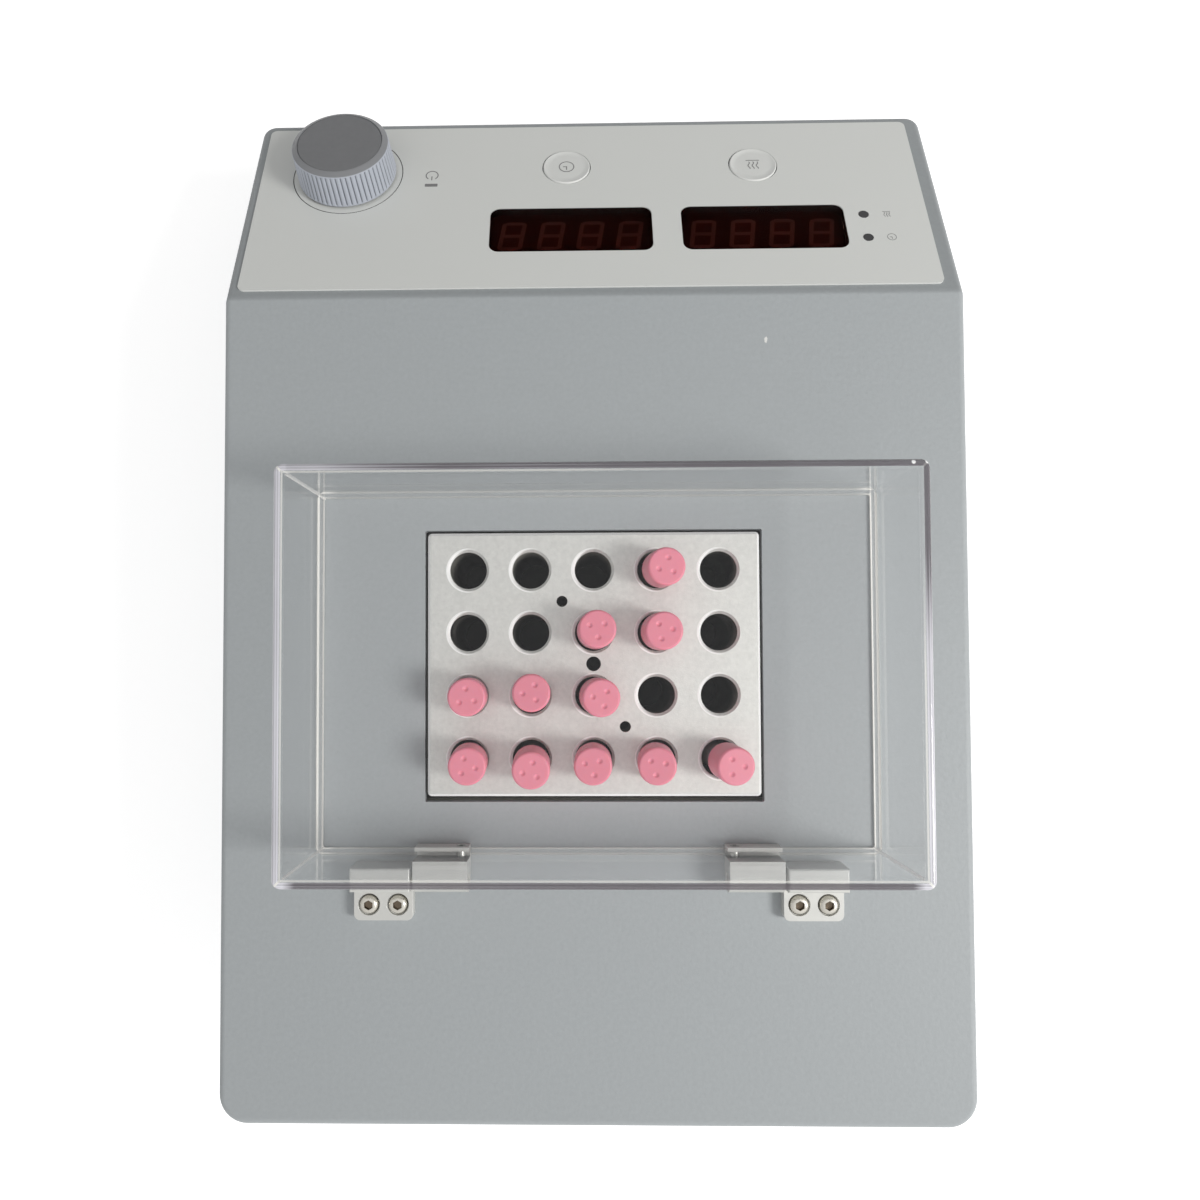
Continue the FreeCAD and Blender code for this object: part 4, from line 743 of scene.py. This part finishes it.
def fluted_knob():
    """A tapered cup turned about its axis. Its side's radius swings in by the flutes' depth
    between rounded ribs: by one less the 0.55 power of the sine of half the angle times the
    ribs. The swing fades out at the shoulder and the bottom edge."""
    ribs, per_rib, flute_depth = 60, 12, 0.45
    shaft, hub, hollow = 3.02, 5.5, 13.3
    shaft_top, hollow_top, hub_bottom = 8.75, 8.3, 4.1
    low, shoulder, top, well = KNOB_BOTTOM, KNOB_SHOULDER, KNOB_TOP, KNOB_WELL_RADIUS
    foot, narrow = KNOB_FOOT_RADIUS, KNOB_FOOT_RADIUS - KNOB_TAPER
    floor = top - KNOB_WELL_DEPTH
    cup = [(shaft, shaft_top), (shaft, hub_bottom), (hub, hub_bottom), (hub, hollow_top),
           (hollow, hollow_top), (hollow, low + 0.2), (hollow + 0.2, low + 0.02)]
    side = np.array([(foot - 0.15, low + 0.02), (foot, low + 0.25), (foot - 0.05, low + 0.9),
                     (foot - 0.3, low + 4.0), (narrow + 0.15, low + 7.6),
                     (narrow + 0.08, shoulder - 0.3), (narrow, shoulder)])
    crown = [(narrow, shoulder), (narrow - 0.18, shoulder + 0.16), (well + 0.2, top),
             (well + 0.02, top), (well, floor)]
    fine = np.linspace(0, len(side) - 1, 30)
    wall = np.column_stack([np.interp(fine, np.arange(len(side)), side[:, k]) for k in (0, 1)])
    profile = np.vstack([softened(cup, 0.1, 2), wall, softened(crown, 0.18, 3)])

    angle = np.linspace(0, 2 * np.pi, ribs * per_rib, endpoint=False)
    radius, height = profile[:, 0][:, None], profile[:, 1][:, None]
    valley = 1 - np.abs(np.sin(angle * ribs / 2)) ** 0.55
    outside = (radius > narrow - 0.1) & (height < shoulder + 0.01)
    from_foot = np.clip((height - low - 0.05) / 0.5, 0, 1)
    from_shoulder = np.clip((shoulder - 0.15 - height) / 0.3, 0, 1)
    radius = radius - flute_depth * valley * from_foot * from_shoulder * outside
    rings = np.stack([radius * np.cos(angle), radius * np.sin(angle), height + 0 * angle], -1)
    shape = closed_rings(rings, (0, 0, shaft_top), (0, 0, floor))
    return piece("knob_shell", shape, on_panel(*KNOB_PLACE), KNOB_SKIN, "knob", ("knob_body",), 50)


def knob_disc():
    """The flat disc let into the knob's top, with a soft edge and a shallow dish."""
    radius, top = KNOB_WELL_RADIUS - 0.06, KNOB_TOP - 0.1
    low = top - 1.05
    edge = [(0, low), (radius, low), (radius, top), (radius - 0.74, top), (0, top - 0.1)]
    shape = turned(softened(edge, 0.3, 4), 128)
    return piece("knob_top_disc", shape, on_panel(*KNOB_PLACE), KNOB_DISC, "knob", ("knob_cap",), 50)


def push_button(name, place, body):
    """A round key: its top is a shallow dome inside a narrow raised ring. Under it are a flange
    and a stem."""
    radius, ring_top, low = 7.4, 0.8, -2.8
    key = [(0, low), (radius, low), (radius, ring_top - 0.18), (radius - 0.18, ring_top),
           (radius - 0.45, ring_top), (radius - 0.7, KEY_TOP - 0.08), (5.0, KEY_TOP - 0.04),
           (2.5, KEY_TOP - 0.01), (0, KEY_TOP)]
    flange, flange_low, flange_high = 8.8, low - 1.0, low + 0.2
    stem, stem_low, stem_high = 1.7, -5.4, flange_low + 0.1
    shape = together(turned(key, 128), drum(flange, flange_low, flange_high, 64),
                     drum(stem, stem_low, stem_high, 32))
    return piece(name + "_key", shape, on_panel(*place), BUTTON, body, (name + "_button",), 60)


def display_glass(name, place):
    """The smoked window, a rounded plate with softened front edges. Its front is level with the
    overlay's, and its back is 0.47 mm in front of the display's mask."""
    low, high = SHEET - WINDOW_THICKNESS, SHEET
    profile = [(0.1, low), (0, low + 0.1), (0, high - 0.12), (0.03, high - 0.04), (0.12, high)]
    shape = slab(WINDOW_LENGTH, WINDOW_WIDTH, WINDOW_CORNER, profile)
    return piece(name + "_glass", shape, on_panel(*place), SMOKED, "housing", (name + "_window",), 30)


def leaning(ring, number):
    """A flat outline leant over and moved to the place of one of the four figures."""
    slant = math.tan(math.radians(FIGURE_LEAN))
    across = ring[:, 0] + ring[:, 1] * slant + (number - 1.5) * FIGURE_PITCH
    return np.column_stack([across, ring[:, 1]])


def thin_plate(ring, low, high):
    """A flat outline given a thickness, closed by fans from its middle."""
    centre = ring.mean(0)
    rings = np.array([np.column_stack([ring, np.full(len(ring), z)]) for z in (low, high)])
    return closed_rings(rings, (*centre, low), (*centre, high))


def window_shade_ring():
    """Painted shade for the play round the window: a dark ring of two of the window's outlines, 0.09 mm
    apart, joined at both ends.
    """
    inner, outer, low, high = 0.03, 0.12, -2.3, 0.3
    rings = []
    for out, z in ((inner, high), (inner, low), (outer, low), (outer, high)):
        ring = outline(WINDOW_LENGTH + 2 * out, WINDOW_WIDTH + 2 * out, WINDOW_CORNER + out)
        rings.append(np.column_stack([ring, np.full(len(ring), z)]))
    return closed_rings(np.array(rings))


def figure_bars(length, width, level, reach):
    """The outlines of a figure's seven pointed bars: three across, `level` apart, and two on each
    side, `reach` from the middle."""
    half, tip = length / 2, width / 2
    bar = np.array([(-half, 0), (tip - half, -tip), (half - tip, -tip),
                    (half, 0), (half - tip, tip), (tip - half, tip)])
    upright = bar[:, ::-1] * (-1, 1)
    bars = [bar + (0, shift) for shift in (-level, 0, level)]
    return bars + [upright + (side * reach, end * level / 2) for side in (-1, 1) for end in (-1, 1)]


def display_face(name, place):
    """The display's dark body with four leaning figures, each a duller ground with its bars on
    it, in a dark mask, and a thin dark ring that fills the play round the window and stands in for
    the shade there: painted shade."""
    back, front, mask_front, ground, face = -8.6, -2.1, -2.07, -2.08, -2.0
    level, reach = 5.3, 3.1
    body = slab(47.0, 15.6, 0.4, [(0.2, back), (0, back + 0.2), (0, front - 0.15), (0.15, front)])
    border = np.array([(-reach, -level), (reach, -level), (reach, level), (-reach, level)])
    grounds = [thin_plate(leaning(border, number), ground, ground + 0.03) for number in range(4)]
    bars = [thin_plate(leaning(ring, number), ground + 0.02, face)
            for number in range(4) for ring in figure_bars(6.1, 1.36, level, reach)]
    mask = slab(WINDOW_LENGTH - 0.1, WINDOW_WIDTH - 0.1, WINDOW_CORNER - 0.1,
                [(0, mask_front - 0.13), (0, mask_front)])
    spot = on_panel(*place)
    piece(name + "_mask", mask, spot, DISPLAY, "housing", (), 30)
    # Painted shade: a dark ring in the play round the window
    piece(name + "_shade_ring", window_shade_ring(), spot, DISPLAY, "housing", (), 30)
    piece(name + "_grounds", together(*grounds), spot, FIGURE, "housing", (), 20)
    piece(name + "_figures", together(*bars), spot, SEGMENT, "housing", (), 20)
    piece(name + "_face", body, spot, DISPLAY, "housing", (name + "_digits",), 30)


def arc(radius, start, end, count):
    """Points on a circle from one angle to another, in degrees."""
    angle = np.radians(np.linspace(start, end, count))
    return np.column_stack([radius * np.cos(angle), radius * np.sin(angle)])


def clock_sign(size, low):
    """A clock: a circle and two hands. It is drawn to be read by someone in front."""
    high, line = low + PRINT_HEIGHT, size * 0.13
    ring = stroke(arc(size, 0, 360, 49)[:-1], line, low, high, True)
    hands = ([(0, -line / 2), (0, size * 0.62)], [(-line / 2, 0), (size * 0.48, 0)])
    return together(ring, *[stroke(hand, line, low, high) for hand in hands])


def heat_sign(size, low):
    """Three rising waves over a bar: x swings with the sine of the height."""
    high, line = low + PRINT_HEIGHT, size * 0.14
    rise = np.linspace(-0.55, 1.0, 25)
    swing = 0.13 * np.sin(rise * 5.2)
    waves = [stroke(size * np.column_stack([offset + swing, rise]), line, low, high)
             for offset in (-0.62, 0, 0.62)]
    bar = [(-size, -size * 0.85), (size, -size * 0.85)]
    return together(stroke(bar, line, low, high), *waves)


def power_sign(size, low):
    """A broken circle with an upright bar in its gap."""
    high, line = low + PRINT_HEIGHT, size * 0.17
    ring = stroke(arc(size, 125, 415, 40), line, low, high)
    return together(ring, stroke([(0, size * 0.25), (0, size * 1.15)], line, low, high))


def printed_signs():
    """Plain signs in grey print: on the two keys, beside the lamps and, over a bar that stands
    for a push, beside the knob."""
    key_print = KEY_TOP - 0.005
    sign_x, power_p, bar_p = LAMP_X - 7.0, 51.5, 47.0
    bar = slab(4.0, 1.3, 0.2, [(0, SHEET), (0, SHEET + PRINT_HEIGHT)])
    signs = (
        ("timer_key_sign", clock_sign(2.3, key_print), TIMER_BUTTON, "timer_key"),
        ("heat_key_sign", heat_sign(2.1, key_print), HEAT_BUTTON, "heat_key"),
        ("heat_lamp_sign", heat_sign(1.2, SHEET), (sign_x, HEAT_LAMP_P), "housing"),
        ("timer_lamp_sign", clock_sign(1.3, SHEET), (sign_x, TIMER_LAMP_P), "housing"),
        ("power_sign", power_sign(1.9, SHEET), (KNOB_SIGN_X, power_p), "housing"),
        ("push_bar", bar, (KNOB_SIGN_X, bar_p), "housing"),
    )
    for name, shape, place, body in signs:
        piece(name, shape, on_panel(*place), PRINT, body)


def knob_seat_shade_ring():
    """A dark ring in the gap round the plate under the knob, in the rubber finish: painted shade that
    stands for the gap's shadow.
    """
    radius, width, height = 17.35, 0.28, 0.46
    # Painted shade: a dark ring in the gap round the knob's seat plate
    seat_shade = stroke(arc(radius, 0, 360, 145)[:-1], width, 0.0, height, True)
    piece("knob_seat_shade_ring", seat_shade, on_panel(*KNOB_PLACE), RUBBER, "housing")


def panel_pieces():
    """Everything on the sloped front."""
    fluted_knob()
    knob_disc()
    push_button("timer", TIMER_BUTTON, "timer_key")
    push_button("heat", HEAT_BUTTON, "heat_key")
    for name, place in (("timer", TIMER_WINDOW), ("heat", HEAT_WINDOW)):
        display_glass(name, place)
        display_face(name, place)
    printed_signs()
    knob_seat_shade_ring()


# The vials

def cap_shape(spin):
    """A cap turned about its axis. Its top sinks by a smooth bump at three dimples, where the
    depth falls with the square of the distance from each dimple's middle."""
    segments, bore, low, roof, top = 96, 4.05, 2.0, 8.0, 12.0
    dimple_ring, dimple_radius, dimple_depth = 2.35, 0.85, 0.42
    angle = np.linspace(0, 2 * np.pi, segments, endpoint=False)
    side = softened([(bore, low), (5.05, low), (5.25, low + 0.3), (5.25, 8.5), (5.22, top - 0.4),
                     (4.75, top), (4.5, top)], 0.25, 3)
    disc = np.column_stack([np.linspace(4.4, 0.1, 40), np.full(40, top)])
    profile = np.vstack([[(bore, roof), (bore, low)], side[1:], disc])
    radius, height = profile[:, 0][:, None], profile[:, 1][:, None]
    x, y, z = radius * np.cos(angle), radius * np.sin(angle), height + 0 * angle
    for turn in np.radians(spin + np.array([0, 120, 240])):
        off_x, off_y = x - dimple_ring * np.cos(turn), y - dimple_ring * np.sin(turn)
        away = np.hypot(off_x, off_y) / dimple_radius
        z = z - dimple_depth * np.clip(1 - away ** 2, 0, 1) ** 1.5 * (z > top - 0.1)
    return closed_rings(np.stack([x, y, z], -1), (0, 0, roof), (0, 0, top))


def tube_shape():
    """The vial's tube: a cone at the foot, a straight wall, open at the top."""
    radius, foot, cone_top, mouth, wall = 4.0, -35.0, -20.0, 7.9, 0.8
    profile = [(0, foot), (1.6, foot), (radius, cone_top), (radius, mouth), (radius - wall, mouth),
               (radius - wall, cone_top + 0.4), (1.0, foot + wall), (0, foot + wall)]
    return turned(softened(profile, 0.4, 3), 64)


def vials():
    """Each vial stands in its well along its own lift joint's axis, which crosses the well's
    axis CROSS_DEPTH under the block's top."""
    lifts = {joint["child"]: joint for joint in frame["joints"]}
    middle_column, middle_row = (WELL_COLUMNS + 1) / 2, (WELL_ROWS + 1) / 2
    middle_y = (block_low.y + block_high.y) / 2
    for number, (column, row, spin) in enumerate(VIALS, 1):
        name = "vial_%02d" % number
        axis = Vector(lifts[name + "_body"]["axis"])
        cross = Vector((WELL_PITCH * (middle_column - column) * MM,
                        middle_y + WELL_PITCH * (row - middle_row) * MM,
                        block_high.z - CROSS_DEPTH * MM))
        lean = Vector((0, 0, 1)).rotation_difference(axis).to_matrix().to_4x4()
        place = Matrix.Translation(cross) @ lean @ Matrix.Translation((0, 0, CROSS_DEPTH * MM))
        piece(name + "_cap", cap_shape(spin), place, CAP_PINK, name + "_body", (name,), 40)
        piece(name + "_tube", tube_shape(), place, TUBE, name + "_body", (name,), 40)


# The cover, its hinges and their screws

def socket_screw(x, y, seat):
    """A button head: a dome over a hexagonal socket. Round the axis the socket's radius is half
    its width across flats over the cosine of the angle from the middle of each flat."""
    angle = np.linspace(0, 2 * np.pi, 96, endpoint=False)
    flat = (angle + np.pi / 6) % (np.pi / 3) - np.pi / 6
    hexagon = 1.0 / np.cos(flat)
    shank, length, edge, socket_floor = 1.5, 6.9, 0.35, 0.5
    dome = [(HEAD_RADIUS - 1.2 * t ** 1.7, edge + (HEAD_HEIGHT - edge) * math.sin(t * np.pi / 2))
            for t in np.linspace(0, 1, 10)[1:]]
    round_rows = [(shank, -length), (shank, 0.0), (HEAD_RADIUS - 0.05, 0.0), (HEAD_RADIUS, 0.08),
                  (HEAD_RADIUS, edge)] + dome
    hexagon_rows = [(SOCKET_RADIUS + 0.12, HEAD_HEIGHT), (SOCKET_RADIUS + 0.02, HEAD_HEIGHT - 0.13),
                    (SOCKET_RADIUS, socket_floor)]
    rings = []
    for rows, around in ((round_rows, 1.0 + 0 * angle), (hexagon_rows, hexagon)):
        for radius, height in rows:
            rings.append(np.column_stack([radius * around * np.cos(angle),
                                          radius * around * np.sin(angle), height + 0 * angle]))
    points, faces = closed_rings(np.array(rings), (0, 0, -length), (0, 0, edge))
    return points + np.array([x, y, seat]), faces


def bracket_screws():
    """The four screws of the hinge brackets, each in its recess."""
    screws = []
    for side in ("right", "left"):
        low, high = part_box("hinge_bracket_" + side)
        middle, y = (low.x + high.x) / 2 / MM, high.y / MM - BRACKET_SCREW_END
        for step in (-0.5, 0.5):
            screws.append(socket_screw(middle + step * BRACKET_SCREW_PITCH, y, TOP / MM + BRACKET_SEAT))
    place = Matrix.Identity(4)
    piece("bracket_socket_screws", together(*screws), place, SCREW_STEEL, "housing",
          ("bracket_screws",), 35)


def lid_and_hinges():
    """The clear cover and the hinges with softened edges."""
    rounded_copy("lid_cover", CLEAR, "lid", 0.25)
    for side in ("right", "left"):
        rounded_copy("lid_leaf_" + side, HINGE, "lid", 0.3)
        rounded_copy("hinge_bracket_" + side, HINGE, "housing", 0.35)
    bracket_screws()


# Stage, light and camera

def ray_kinds(tree):
    """Two outputs: 1 for rays from the camera, and 1 for rays that come by a reflection or
    through glass."""
    path = tree.nodes.new("ShaderNodeLightPath").outputs
    return path["Is Camera Ray"], largest(tree, path["Is Glossy Ray"], path["Is Transmission Ray"])


def stage_floor():
    """A pale floor: white to the camera and in reflections, and it still takes the shadow."""
    half = 6.0
    mesh = bpy.data.meshes.new("floor")
    corners = [(-half, -half, 0), (half, -half, 0), (half, half, 0), (-half, half, 0)]
    mesh.from_pydata(corners, [], [(0, 1, 2, 3)])
    floor = bpy.data.objects.new("floor", mesh)
    bpy.context.scene.collection.objects.link(floor)
    material = bpy.data.materials.new("pale_floor")
    material.use_nodes = True
    tree = material.node_tree
    inputs = shader_of(tree).inputs
    inputs["Base Color"].default_value = (0.86, 0.86, 0.86, 1)
    inputs["Roughness"].default_value = 0.9
    inputs["Specular IOR Level"].default_value = 0.0
    inputs["Emission Color"].default_value = (1, 1, 1, 1)
    feed(tree, "Emission Strength", times(tree, largest(tree, *ray_kinds(tree)), 0.55))
    mesh.materials.append(material)


def room_light():
    """A room that is brighter behind the instrument than in front of it, and one soft window
    lamp over its left side. Reflections see the pale walls, brighter towards the lamp."""
    world = bpy.data.worlds.new("room")
    bpy.context.scene.world = world
    world.use_nodes = True
    tree = world.node_tree
    direction = split(tree, tree.nodes.new("ShaderNodeTexCoord").outputs["Generated"])
    rear = ramp(tree, direction["Y"], -0.9, 0.9)
    room = mixed(tree, rear, (0.06, 0.06, 0.06, 1), (1.04, 1.04, 1.04, 1))
    side = ramp(tree, direction["X"], 0.9, -0.9)
    walls = mixed(tree, side, (0.64, 0.64, 0.64, 1), (0.98, 0.98, 0.98, 1))
    from_camera, shiny = ray_kinds(tree)
    colour = mixed(tree, from_camera, mixed(tree, shiny, room, walls), (1, 1, 1, 1))
    tree.links.new(colour, tree.nodes["Background"].inputs["Color"])
    lamp = bpy.data.lights.new("window_light", "AREA")
    lamp.shape = "RECTANGLE"
    lamp.size, lamp.size_y = 0.22, 0.34
    lamp.energy = 5.9
    lamp.color = (1.0, 0.99, 0.965)
    light = bpy.data.objects.new("window_light", lamp)
    light.location = (-0.72, 0.20, 0.74)
    aim = Vector((0, 0.02, 0.08)) - light.location
    light.rotation_euler = aim.to_track_quat("-Z", "Y").to_euler()
    bpy.context.scene.collection.objects.link(light)


def photo_camera():
    """A camera near the instrument, over its top and looking down, with the front at the top of
    the frame. Its focal length and middle are in pixels of a 1200 by 1200 frame."""
    focal, middle_x, middle_y, frame_width, sensor = 794.36, 558.83, 632.87, 1200, 36.0
    place = Vector((6.107, 18.802, 313.575)) * MM
    right = Vector((-0.99985126, 0.00352622, -0.01688240))
    down = Vector((0.00398843, 0.99961595, -0.02742341))
    data = bpy.data.cameras.new("camera")
    data.sensor_width = sensor
    data.lens = focal / frame_width * sensor
    data.shift_x = (frame_width / 2 - middle_x) / frame_width
    data.shift_y = (middle_y - frame_width / 2) / frame_width
    data.clip_start, data.clip_end = 0.01, 50
    camera = bpy.data.objects.new("camera", data)
    turn = Matrix((right, -down, -right.cross(down))).transposed()
    camera.matrix_world = Matrix.Translation(place) @ turn.to_4x4()
    bpy.context.scene.collection.objects.link(camera)
    bpy.context.scene.camera = camera


dress_nodes()
panel_pieces()
vials()
lid_and_hinges()
stage_floor()
room_light()
photo_camera()
bpy.context.scene.view_settings.view_transform = "Standard"
